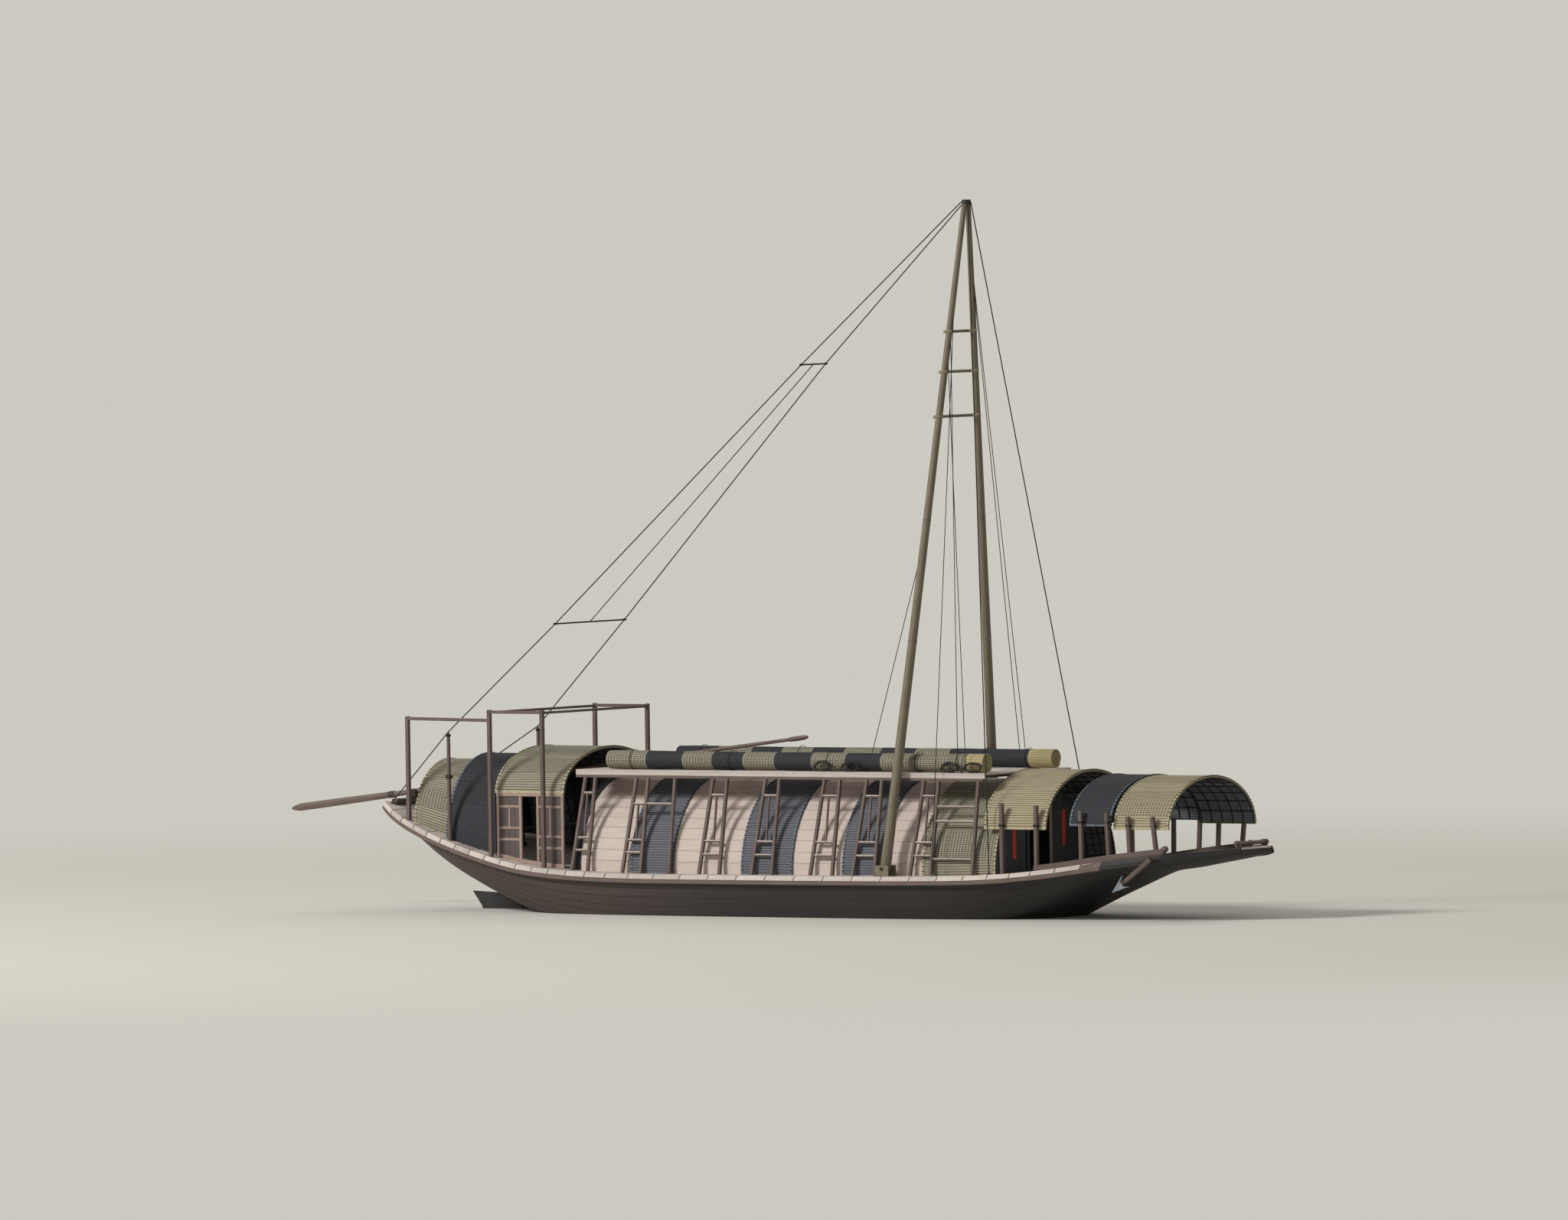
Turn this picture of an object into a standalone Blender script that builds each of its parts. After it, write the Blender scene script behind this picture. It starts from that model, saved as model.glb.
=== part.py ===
"""A flat-bottomed Chinese river junk with a mat-roofed house, a bipod mast, a stern sweep and a rudder.

Metres. +X is the bow, +Y is port, +Z is up. The origin is on the waterline, amidships, on the centreline.
"""

import math

import bmesh
import bpy
from mathutils import Matrix, Vector

GAP = 0.0003
PIN_SIDES = 24
PIN_CLEARANCE = 0.0007
PORT, STARBOARD = 1, -1
SIDES = (("starboard", STARBOARD), ("port", PORT))

# Hull lines: place along the hull, deck height, deck half width, bottom height, bottom half width
HULL_LINES = (
    (-11.55, 2.46, 0.86, 2.28, 0.60),
    (-11.00, 2.24, 1.24, 2.00, 0.76),
    (-10.40, 2.03, 1.54, 1.64, 0.90),
    (-9.60, 1.77, 1.79, 1.12, 1.02),
    (-8.80, 1.54, 1.95, 0.68, 1.10),
    (-8.00, 1.34, 2.08, 0.34, 1.16),
    (-7.00, 1.13, 2.19, -0.02, 1.24),
    (-5.80, 1.01, 2.29, -0.36, 1.36),
    (-4.20, 0.95, 2.36, -0.55, 1.50),
    (-2.00, 0.94, 2.38, -0.60, 1.60),
    (2.00, 0.95, 2.38, -0.60, 1.58),
    (4.20, 0.97, 2.37, -0.55, 1.34),
    (5.60, 1.00, 2.33, -0.33, 1.04),
    (6.60, 1.06, 2.27, 0.00, 0.80),
    (7.60, 1.16, 2.17, 0.48, 0.95),
    (8.70, 1.31, 2.00, 0.96, 1.13),
    (9.60, 1.42, 1.88, 1.10, 1.02),
    (10.40, 1.50, 1.77, 1.23, 0.92),
    (11.10, 1.56, 1.16, 1.34, 0.78),
    (11.73, 1.62, 0.62, 1.45, 0.56),
)
LOFT_STEP = 0.55
DECK_THICKNESS = 0.045
# The deck in four stretches: name, aft end, fore end
DECK_SPANS = (
    ("stern", -11.55, -9.60),
    ("quarter", -9.60, -5.80),
    ("waist", -5.80, 6.60),
    ("fore", 6.60, 11.73),
)
STRAKE_WIDTH = 0.09
STRAKE_DEPTH = 0.20
STRAKE_SHOULDER = 0.02

# The arched house
HOUSE_AFT, HOUSE_FORE = -5.62, 5.97
VAULT_HALF = 1.86
VAULT_CROWN = 3.06
VAULT_THICKNESS = 0.05
MAT_THICKNESS = 0.03
ARCH_STEPS = 24
BULKHEAD_THICKNESS = 0.06
BULKHEAD_FORE_X = 5.82
BULKHEAD_AFT_X = -5.50
# The lattice wall forward of the house, port side only, and how many of the arch's steps it has
LATTICE_ENDS = (5.975, 6.72)
LATTICE_INSET = 0.03
LATTICE_STEPS = 8
DOOR_HALF = 0.45
DOOR_HEIGHT = 1.55

# Mats over the boarded vault: name, aft end, fore end
HOUSE_MATS = (
    ("house_mat_dark_1", -4.00, -2.82),
    ("house_mat_dark_2", -0.96, 0.43),
    ("house_mat_dark_3", 1.80, 2.94),
    ("house_mat_olive", 3.98, 5.97),
)

# Roof gangways on prop frames
GANGWAY_AFT, GANGWAY_FORE = -5.60, 5.60
GANGWAY_TOP = 3.26
PLANK_THICKNESS = 0.04
GANGWAY_INNER, GANGWAY_OUTER = 0.42, 1.72
BEARER_DEPTH = 0.08
BEARER_WIDTH = 0.08
PLATE_DEPTH = 0.06
CROSS_BEAMS = (-5.3, -3.5, -1.7, 0.1, 1.9, 3.7, 5.3)
PROP_BASE_Y, PROP_TOP_Y = 1.99, 1.675
STILE = 0.075
RAIL = 0.055

# Prop frames: aft stile foot, fore stile foot, aft stile head, fore stile head,
# heights of the rails above the deck, whether a centre bar stands between the upper two rails
PROP_FRAMES = (
    (-5.55, -5.12, -5.35, -5.08, (1.75, 0.74, 0.46), True),
    (-4.16, -3.66, -3.94, -3.62, (1.55, 0.74, 0.46), True),
    (-2.05, -1.49, -1.83, -1.45, (1.77, 0.74, 0.44), True),
    (-0.61, -0.05, -0.39, -0.01, (1.77, 0.74, 0.44), True),
    (1.00, 1.60, 1.22, 1.64, (1.77, 0.74, 0.44), True),
    (2.16, 2.75, 2.38, 2.79, (1.77, 0.74, 0.44), True),
    (3.72, 4.29, 3.94, 4.33, (1.77, 0.74, 0.44), True),
)
# Single posts of the prop frames: place, then the rails that tie them: height, aft end, fore end
PROP_POSTS = (-2.88, 5.41)
PROP_TIES = ((1.56, -3.94, -2.88), (1.53, 4.30, 5.41), (1.20, 4.30, 5.41), (0.36, 4.30, 5.41))

# Rolled mats on the gangways
ROLL_RADIUS = 0.225
ROLL_Y = 1.36
ROLL_AFT, ROLL_FORE = -4.87, 5.44

# Stern mats: name, aft end, fore end, half width, crown height
STERN_MATS = (
    ("stern_mat_1", -10.35, -9.27, 1.38, 3.40),
    ("stern_mat_2", -9.25, -7.77, 1.66, 3.54),
)
# Open-sided mats on posts: name, aft end, fore end, half width, lower edge, crown height
AWNINGS = (
    ("stern_mat_3", -7.74, -5.84, 1.86, 2.72, 3.72),
    ("fore_awning_1", 5.66, 7.33, 1.85, 2.03, 3.30),
    ("fore_awning_2", 7.94, 9.05, 1.80, 2.12, 3.20),
    ("fore_awning_3", 9.09, 10.56, 1.75, 2.05, 3.19),
)
AWNING_THICKNESS = 0.04

# Side screens under the third stern mat: stiles, then the panels between them
SCREEN_Y = 1.86
SCREEN_DEPTH = 0.06
SCREEN_TOP = 2.72 - GAP
SCREEN_STILES = (-7.68, -7.06, -6.58, -5.90)
SCREEN_PANELS = ((-7.68, -7.06), (-6.58, -5.90))

# Posts round the stern, spot A on the starboard side only: name of the spot, place, half distance
# across, top height
STERN_POSTS = (("A", -10.47, 1.42, 4.41), ("C", -7.73, 2.06, 4.60), ("D", -6.27, 2.06, 4.60))
STERN_POST = 0.09
STERN_TOP_RAIL = 4.55
STERN_LOW_RAIL = 4.36
STERN_RAIL = 0.07
STAY_POST = (-9.10, 1.75, 4.02)

# Bow rails and the posts of the fore awnings
RAIL_AFT, RAIL_FORE = 7.05, 10.42
RAIL_AFT_Y, RAIL_FORE_Y = 1.905, 1.70
RAIL_DEPTH = 0.13
RAIL_WIDTH = 0.11
POST = 0.09
POST_CLEARANCE = 0.001
# Posts on the rail: place, top height, the awning that they hold at its lower edge
FORE_POSTS = (
    (7.10, 2.57, "fore_awning_1"),
    (8.27, 2.46, "fore_awning_2"),
    (8.98, 2.42, "fore_awning_2"),
    (9.52, 2.34, "fore_awning_3"),
    (10.20, 2.34, "fore_awning_3"),
)
FIRST_POST = (6.17, 2.60, "fore_awning_1")

# Bipod mast
MAST_FOOT = (3.20, 2.19)
MAST_PIN_RISE = 0.17
MAST_HEEL = 0.05
MAST_HEAD = (4.16, 0.075, 15.93)
LEG_FOOT_RADIUS, LEG_HEAD_RADIUS = 0.12, 0.06
MAST_BLOCK = (0.12, 0.20, 16.05)
CROSSBAR_HEIGHTS = (13.1, 12.2, 11.2)
CROSSBAR_RADIUS = 0.035
MAST_PIN_RADIUS = 0.03
STEP_CHEEK = 0.025
STEP_LENGTH = 0.36
STEP_HEIGHT = 0.24

# Stays: rope radius, then the two spreader bars: place, half width, height
STAY_RADIUS = 0.02
SPREADERS = ((-0.08, 0.48, 12.36), (-6.36, 1.35, 6.53))
STAY_HEAD = (4.07, 0.06, 16.00)
POST_EYE_RADIUS = 0.06
STERN_EYE = (-11.40, 0.80)
FORE_STAY_HEAD = (4.242, 0.06, 16.00)
FORE_STAY_FOOT = (5.98, 2.15)

# Stern sweep: place, height of the axis, half height and half thickness of the section
SWEEP_SLOPE = 0.121
SWEEP_PIVOT = (-11.33, 2.64)
SWEEP_SECTIONS = (
    (-14.78, 0.020, 0.014),
    (-14.55, 0.085, 0.024),
    (-13.40, 0.082, 0.028),
    (-12.10, 0.072, 0.036),
    (-11.75, 0.062, 0.056),
    (-8.00, 0.054, 0.052),
    (-0.92, 0.040, 0.040),
    (-0.86, 0.056, 0.056),
    (-0.50, 0.056, 0.056),
    (-0.40, 0.030, 0.030),
)
YOKE_INNER = 0.075
YOKE_CHEEK = 0.03
YOKE_LENGTH = 0.20
SWEEP_PIN_RADIUS = 0.02
YOKE_PIN_RADIUS = 0.03
STERN_BEAM_HALF = 0.78
STERN_BEAM_HEIGHT = 0.10
STERN_BEAM_WIDTH = 0.16

# Rudder
STOCK_X = -8.35
STOCK_RADIUS = 0.07
TRUNK_RADIUS = 0.085
COLLAR_RADIUS, COLLAR_HEIGHT = 0.12, 0.05
RUDDER_BOTTOM = -0.56
RUDDER_BLADE = ((-8.20, 0.33), (-9.72, 0.40), (-9.46, 0.05), (-9.30, -0.56), (-8.20, -0.56))
RUDDER_THICKNESS = 0.07
TILLER_RISE = 0.42
TILLER_LENGTH = 1.45

# Bow roller
ROLLER_X = 11.60
ROLLER_RISE = 0.10
ROLLER_RADIUS = 0.05
ROLLER_HALF = 0.50
ROLLER_JOURNAL = 0.024
BOW_CHEEK = 0.04

# Anchor on the starboard bow: shank head and heel, then the fluke
ANCHOR_HEAD = (10.32, 1.46)
ANCHOR_HEEL = (9.46, 0.84)
SHANK_WIDTH, SHANK_DEPTH = 0.10, 0.08

# Rope coils that stand on the starboard gangway's edge and lean on the rolled mat: places
ROPE_COILS = (1.14, 1.90, 4.62, 5.24)
COIL_Y = -1.68
COIL_LONG, COIL_TALL, COIL_THICKNESS = 0.23, 0.10, 0.035
COIL_LEAN = math.radians(76)


def clear_scene():
    for item in list(bpy.data.objects):
        bpy.data.objects.remove(item, do_unlink=True)


def paint(name, colour, roughness, metallic=0.0):
    material = bpy.data.materials.new(name)
    material.use_nodes = True
    shader = material.node_tree.nodes["Principled BSDF"]
    shader.inputs["Base Color"].default_value = (*colour, 1.0)
    shader.inputs["Roughness"].default_value = roughness
    shader.inputs["Metallic"].default_value = metallic
    return material


def slope_through(lines, column, index):
    """The slope of a column at one line, from its neighbours."""
    low, high = max(index - 1, 0), min(index + 1, len(lines) - 1)
    return (lines[high][column] - lines[low][column]) / (lines[high][0] - lines[low][0])


def fair(column, x):
    """A column of the hull lines at x, on smooth curves through the lines."""
    lines = HULL_LINES
    index = max(i for i in range(len(lines) - 1) if lines[i][0] <= x + 1e-9)
    start, end = lines[index], lines[index + 1]
    span = end[0] - start[0]
    t = (x - start[0]) / span
    tangent_a = slope_through(lines, column, index) * span
    tangent_b = slope_through(lines, column, index + 1) * span
    return (
        (2 * t**3 - 3 * t**2 + 1) * start[column]
        + (t**3 - 2 * t**2 + t) * tangent_a
        + (3 * t**2 - 2 * t**3) * end[column]
        + (t**3 - t**2) * tangent_b
    )


def loft_places():
    first, last = HULL_LINES[0][0], HULL_LINES[-1][0]
    count = round((last - first) / LOFT_STEP)
    return [first + (last - first) * i / count for i in range(count + 1)]


LOFT = loft_places()


def straight(column, x):
    """A column at x on the straight runs between the loft's places, as the solids have it."""
    step = LOFT[1] - LOFT[0]
    index = min(int((x - LOFT[0]) / step), len(LOFT) - 2)
    t = (x - LOFT[index]) / step
    return fair(column, LOFT[index]) * (1 - t) + fair(column, LOFT[index + 1]) * t


def deck_z(x):
    return straight(1, x)


def deck_half(x):
    return straight(2, x)


def strake_depth(x):
    return min(STRAKE_DEPTH, deck_z(x) - straight(3, x))


def highest_deck(x, reach):
    return max(deck_z(x - reach), deck_z(x + reach)) + GAP


def places_between(start, end):
    inside = [x for x in LOFT if start + 1e-6 < x < end - 1e-6]
    return [start, *inside, end]


def add(name, bm, material):
    bmesh.ops.remove_doubles(bm, verts=bm.verts, dist=1e-6)
    bmesh.ops.recalc_face_normals(bm, faces=bm.faces)
    mesh = bpy.data.meshes.new(name)
    bm.to_mesh(mesh)
    bm.free()
    item = bpy.data.objects.new(name, mesh)
    if material:
        mesh.materials.append(material)
    bpy.context.scene.collection.objects.link(item)
    return item


def lofted(rings, closed_ends=True):
    """A bmesh skinned through rings of points that have the same count."""
    bm = bmesh.new()
    rows = [[bm.verts.new(point) for point in ring] for ring in rings]
    count = len(rows[0])
    for near, far in zip(rows, rows[1:]):
        for i in range(count):
            j = (i + 1) % count
            bm.faces.new((near[i], near[j], far[j], far[i]))
    if closed_ends:
        bm.faces.new(rows[0])
        bm.faces.new(rows[-1])
    return bm


def mirrored(sign, near, far):
    """Two distances from the centreline on one side, lower first."""
    return sorted((sign * near, sign * far))


def block(low, high):
    """A box between two corners."""
    bm = bmesh.new()
    bmesh.ops.create_cube(bm, size=1.0)
    size = Vector(high) - Vector(low)
    bmesh.ops.scale(bm, vec=size, verts=bm.verts)
    bmesh.ops.translate(bm, vec=(Vector(high) + Vector(low)) / 2, verts=bm.verts)
    return bm


def beam(start, end, across, deep, side=(0.0, 1.0, 0.0)):
    """A square-cut beam from start to end; deep is its size along side."""
    start, end = Vector(start), Vector(end)
    axis = (end - start).normalized()
    out = Vector(side) - axis * axis.dot(Vector(side))
    out.normalize()
    flat = axis.cross(out)
    bm = bmesh.new()
    bmesh.ops.create_cube(bm, size=1.0)
    bmesh.ops.scale(bm, vec=(across, deep, (end - start).length), verts=bm.verts)
    turn = Matrix((flat, out, axis)).transposed().to_4x4()
    bmesh.ops.transform(bm, matrix=Matrix.Translation((start + end) / 2) @ turn, verts=bm.verts)
    return bm


def rod(start, end, radius, end_radius=None, sides=12):
    """A round bar from start to end, which may taper."""
    start, end = Vector(start), Vector(end)
    bm = bmesh.new()
    bmesh.ops.create_cone(
        bm,
        cap_ends=True,
        segments=sides,
        radius1=radius,
        radius2=radius if end_radius is None else end_radius,
        depth=(end - start).length,
    )
    turn = (end - start).to_track_quat("Z", "Y").to_matrix().to_4x4()
    bmesh.ops.transform(bm, matrix=Matrix.Translation((start + end) / 2) @ turn, verts=bm.verts)
    return bm


def stood(bm, z):
    """The shape, moved up or down until its lowest point is at z."""
    lowest = min(vert.co.z for vert in bm.verts)
    bmesh.ops.translate(bm, vec=(0, 0, z - lowest), verts=bm.verts)
    return bm


def plate(outline, low, high, axis):
    """A flat outline of two coordinates, made thick along the axis between low and high."""
    bm = bmesh.new()
    rows = []
    for place in (low, high):
        points = []
        for first, second in outline:
            point = [first, second]
            point.insert(axis, place)
            points.append(bm.verts.new(point))
        rows.append(points)
    count = len(outline)
    for i in range(count):
        j = (i + 1) % count
        bm.faces.new((rows[0][i], rows[0][j], rows[1][j], rows[1][i]))
    for points in rows:
        bm.faces.new(points)
    return bm


def combined(name, first, others, operation, material):
    """One solid from a shape and others that are joined to it or cut from it."""
    base = add(name, first, material)
    helpers = bpy.data.collections.new(name + "_helpers")
    for index, bm in enumerate(others):
        helper = add(f"{name}_helper_{index}", bm, None)
        bpy.context.scene.collection.objects.unlink(helper)
        helpers.objects.link(helper)
    change = base.modifiers.new("Combine", "BOOLEAN")
    change.operation = operation
    change.operand_type = "COLLECTION"
    change.collection = helpers
    change.solver = "EXACT"
    graph = bpy.context.evaluated_depsgraph_get()
    made = bpy.data.meshes.new_from_object(base.evaluated_get(graph))
    base.modifiers.clear()
    base.data = made
    for helper in list(helpers.objects):
        bpy.data.objects.remove(helper, do_unlink=True)
    bpy.data.collections.remove(helpers)
    return base


def fused(name, pieces, material):
    return combined(name, pieces[0], pieces[1:], "UNION", material)


def cut(name, piece, cutters, material):
    return combined(name, piece, cutters, "DIFFERENCE", material)


def bent(places, half, crown, base, thickness, first_step=0, last_step=ARCH_STEPS):
    """An arched shell along the hull, whose lower edges follow base(x)."""
    rings = []
    for x in places:
        foot = base(x)
        outer, inner = [], []
        for step in range(first_step, last_step + 1):
            angle = math.pi * step / ARCH_STEPS
            rise = max(math.sin(angle), 0.0)
            outer.append((x, half * math.cos(angle), foot + (crown - foot) * rise))
            inside = foot + (crown - thickness - foot) * rise
            inner.append((x, (half - thickness) * math.cos(angle), inside))
        rings.append((outer, inner))
    return shell_between(rings)


def shell_between(rings):
    """A wall between outer and inner rows of points, closed along its edges and ends."""
    bm = bmesh.new()
    rows = [[[bm.verts.new(point) for point in line] for line in pair] for pair in rings]
    count = len(rows[0][0])
    for near, far in zip(rows, rows[1:]):
        for wall in (0, 1):
            for i in range(count - 1):
                bm.faces.new((near[wall][i], near[wall][i + 1], far[wall][i + 1], far[wall][i]))
        for i in (0, count - 1):
            bm.faces.new((near[0][i], near[1][i], far[1][i], far[0][i]))
    for outer, inner in (rows[0], rows[-1]):
        for i in range(count - 1):
            bm.faces.new((outer[i], outer[i + 1], inner[i + 1], inner[i]))
    return bm


def hank(foot, long, tall, lean, thickness, sides=20, round_sides=8):
    """An oval ring of rope that stands on foot and leans inboard by its angle from level."""
    rings = []
    for i in range(sides):
        angle = 2 * math.pi * i / sides
        ring = []
        for j in range(round_sides):
            around = 2 * math.pi * j / round_sides
            reach = thickness * math.cos(around)
            out = thickness * math.sin(around)
            x = foot[0] + (long + reach) * math.cos(angle)
            rise = tall + (tall + reach) * math.sin(angle)
            y = foot[1] + rise * math.cos(lean) - out * math.sin(lean)
            z = foot[2] + rise * math.sin(lean) + out * math.cos(lean)
            ring.append((x, y, z))
        rings.append(ring)
    return lofted([*rings, rings[0]], closed_ends=False)


def build_hull(wood):
    rings = []
    for x in LOFT:
        top = fair(1, x) - DECK_THICKNESS - GAP
        half, low, low_half = fair(2, x), fair(3, x), fair(4, x)
        side = []
        for reach, rise in ((1.0, 1.0), (0.86, 0.58), (0.50, 0.20), (0.0, 0.0)):
            side.append((low_half + (half - low_half) * reach, low + (top - low) * rise))
        ring = [(x, y, z) for y, z in side] + [(x, -y, z) for y, z in reversed(side)]
        rings.append(ring)
    trunk = rod((STOCK_X, 0, -1.0), (STOCK_X, 0, 3.0), TRUNK_RADIUS, sides=16)
    return cut("hull", lofted(rings), [trunk], wood)


def build_deck(wood):
    for stretch, aft, fore in DECK_SPANS:
        rings = []
        for x in places_between(aft, fore - GAP):
            top, half = deck_z(x), deck_half(x)
            low = top - DECK_THICKNESS
            rings.append(((x, -half, low), (x, half, low), (x, half, top), (x, -half, top)))
        name = f"deck_planking_{stretch}"
        if aft < STOCK_X < fore:
            trunk = rod((STOCK_X, 0, -1.0), (STOCK_X, 0, 3.0), TRUNK_RADIUS, sides=16)
            cut(name, lofted(rings), [trunk], wood)
        else:
            add(name, lofted(rings), wood)


def build_strakes(wood):
    for side, sign in SIDES:
        rings = []
        for x in LOFT:
            top, near, depth = fair(1, x), fair(2, x) + GAP, strake_depth(x)
            far, low = near + STRAKE_WIDTH, top - depth
            slope = ((far, low), (far, top - depth / 2), (near + STRAKE_SHOULDER, top))
            ring = ((near, low), *slope, (near, top))
            rings.append([(x, sign * y, z) for y, z in ring])
        add(f"rubbing_strake_{side}", lofted(rings), wood)


def on_deck(x):
    return deck_z(x) + GAP


def build_house(boards, dark, olive):
    def vault(places, skin, thickness):
        return bent(places, VAULT_HALF + skin, VAULT_CROWN + skin, on_deck, thickness)

    shell = vault(places_between(HOUSE_AFT, HOUSE_FORE), 0.0, VAULT_THICKNESS)
    add("house_vault", shell, boards)
    for name, aft, fore in HOUSE_MATS:
        skin = GAP + MAT_THICKNESS
        mat = vault(places_between(aft, fore), skin, MAT_THICKNESS)
        add(name, mat, olive if name.endswith("olive") else dark)


def build_bulkheads(wood):
    for name, x in (("bulkhead_fore", BULKHEAD_FORE_X), ("bulkhead_aft", BULKHEAD_AFT_X)):
        end = x + BULKHEAD_THICKNESS
        foot = max(deck_z(x), deck_z(end)) + GAP
        half = VAULT_HALF - VAULT_THICKNESS - 0.006
        crown = VAULT_CROWN - VAULT_THICKNESS - 0.006
        low = min(deck_z(x), deck_z(end))
        outline = [(-DOOR_HALF, foot), (-DOOR_HALF, foot + DOOR_HEIGHT)]
        outline += [(DOOR_HALF, foot + DOOR_HEIGHT), (DOOR_HALF, foot)]
        for step in range(ARCH_STEPS + 1):
            angle = math.pi * step / ARCH_STEPS
            height = max(low + (crown - low) * math.sin(angle), foot)
            outline.append((half * math.cos(angle), height))
        add(name, plate(outline, x, end, 0), wood)


def prop_y(x, height):
    """How far out a prop frame's middle stands at a height above the deck."""
    top = GANGWAY_TOP - PLANK_THICKNESS - BEARER_DEPTH - PLATE_DEPTH - deck_z(x)
    return PROP_BASE_Y + (PROP_TOP_Y - PROP_BASE_Y) * height / top


def build_props(wood):
    plate_top = GANGWAY_TOP - PLANK_THICKNESS - BEARER_DEPTH - 2 * GAP
    plate_low = plate_top - PLATE_DEPTH
    head = plate_low + 0.02
    for side, sign in SIDES:
        near, far = mirrored(sign, PROP_TOP_Y - BEARER_WIDTH / 2, PROP_TOP_Y + BEARER_WIDTH / 2)
        pieces = [block((GANGWAY_AFT, near, plate_low), (GANGWAY_FORE - 0.05, far, plate_top))]

        def stile(foot, top):
            low = highest_deck(foot, STILE / 2)
            start = (foot, sign * PROP_BASE_Y, low)
            pieces.append(stood(beam(start, (top, sign * PROP_TOP_Y, head), STILE, STILE), low))

        def rail(height, aft, fore):
            middle = (aft + fore) / 2
            y = sign * prop_y(middle, height)
            z = deck_z(middle) + height
            pieces.append(beam((aft, y, z), (fore, y, z), RAIL, RAIL))

        for aft_foot, fore_foot, aft_head, fore_head, heights, bar in PROP_FRAMES:
            stile(aft_foot, aft_head)
            stile(fore_foot, fore_head)
            span = head - deck_z(aft_foot)
            for height in heights:
                share = height / span
                aft = aft_foot + (aft_head - aft_foot) * share
                fore = fore_foot + (fore_head - fore_foot) * share
                rail(height, aft, fore)
            if bar:
                middle = (aft_foot + aft_head + fore_foot + fore_head) / 4
                ends = []
                for height in heights[:2]:
                    ends.append((middle, sign * prop_y(middle, height), deck_z(middle) + height))
                pieces.append(beam(ends[1], ends[0], RAIL * 0.8, RAIL * 0.8))
        for x in PROP_POSTS:
            stile(x, x)
        for height, aft, fore in PROP_TIES:
            rail(height, aft, fore)
        fused(f"prop_frames_{side}", pieces, wood)


def build_roof(beams, planks, olive):
    bearer_top = GANGWAY_TOP - PLANK_THICKNESS - GAP
    bearer_low = bearer_top - BEARER_DEPTH
    pieces = []
    for sign in (STARBOARD, PORT):
        near, far = mirrored(sign, PROP_TOP_Y - BEARER_WIDTH / 2, PROP_TOP_Y + BEARER_WIDTH / 2)
        pieces.append(block((GANGWAY_AFT, near, bearer_low), (GANGWAY_FORE, far, bearer_top)))
    reach = PROP_TOP_Y
    for x in CROSS_BEAMS:
        low = (x - 0.04, -reach, bearer_low + 0.004)
        pieces.append(block(low, (x + 0.04, reach, bearer_top - 0.0002)))
    fused("roof_frame", pieces, beams)
    for side, sign in SIDES:
        near, far = mirrored(sign, GANGWAY_INNER, GANGWAY_OUTER)
        low = (GANGWAY_AFT, near, GANGWAY_TOP - PLANK_THICKNESS)
        add(f"roof_gangway_{side}", block(low, (GANGWAY_FORE, far, GANGWAY_TOP)), planks)
        z = GANGWAY_TOP + ROLL_RADIUS + GAP
        roll = rod((ROLL_AFT, sign * ROLL_Y, z), (ROLL_FORE, sign * ROLL_Y, z), ROLL_RADIUS, sides=24)
        add(f"mat_roll_{side}", roll, olive)


def build_mats(dark, olive):
    for name, aft, fore, half, crown in STERN_MATS:
        shell = bent(places_between(aft, fore), half, crown, on_deck, AWNING_THICKNESS)
        add(name, shell, dark if name.endswith("2") else olive)
    for name, aft, fore, half, edge, crown in AWNINGS:
        shell = bent((aft, fore), half, crown, lambda x, edge=edge: edge, AWNING_THICKNESS)
        add(name, shell, dark if name == "fore_awning_2" else olive)


def build_screens(wood):
    for side, sign in SIDES:
        near, far = mirrored(sign, SCREEN_Y - SCREEN_DEPTH, SCREEN_Y)
        rings = []
        for x in places_between(SCREEN_STILES[0] - 0.04, SCREEN_STILES[-1] + 0.04):
            low = on_deck(x)
            rings.append(((x, near, low), (x, far, low), (x, far, low + 0.09), (x, near, low + 0.09)))
        pieces = [lofted(rings)]
        ends = (SCREEN_STILES[0] - 0.04, SCREEN_STILES[-1] + 0.04)
        pieces.append(block((ends[0], near, SCREEN_TOP - 0.08), (ends[1], far, SCREEN_TOP)))
        inset = 0.004
        for x in SCREEN_STILES:
            low = (x - 0.035, near + inset, deck_z(x) + 0.03)
            pieces.append(block(low, (x + 0.035, far - inset, SCREEN_TOP - 0.02)))
        for aft, fore in SCREEN_PANELS:
            middle = (near + far) / 2
            top, foot = SCREEN_TOP - 0.04, deck_z(aft) + 0.04
            pieces.append(block((aft, middle - 0.008, foot), (fore, middle + 0.008, top)))
            for z in (top - 0.27, foot + 0.62, foot + 0.36):
                low = (aft, near + 2 * inset, z - 0.03)
                pieces.append(block(low, (fore, far - 2 * inset, z + 0.03)))
            bar = (aft + fore) / 2
            low = (bar - 0.022, near + 3 * inset, foot + 0.62)
            pieces.append(block(low, (bar + 0.022, far - 3 * inset, top - 0.27)))
        fused(f"stern_screen_{side}", pieces, wood)


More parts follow.
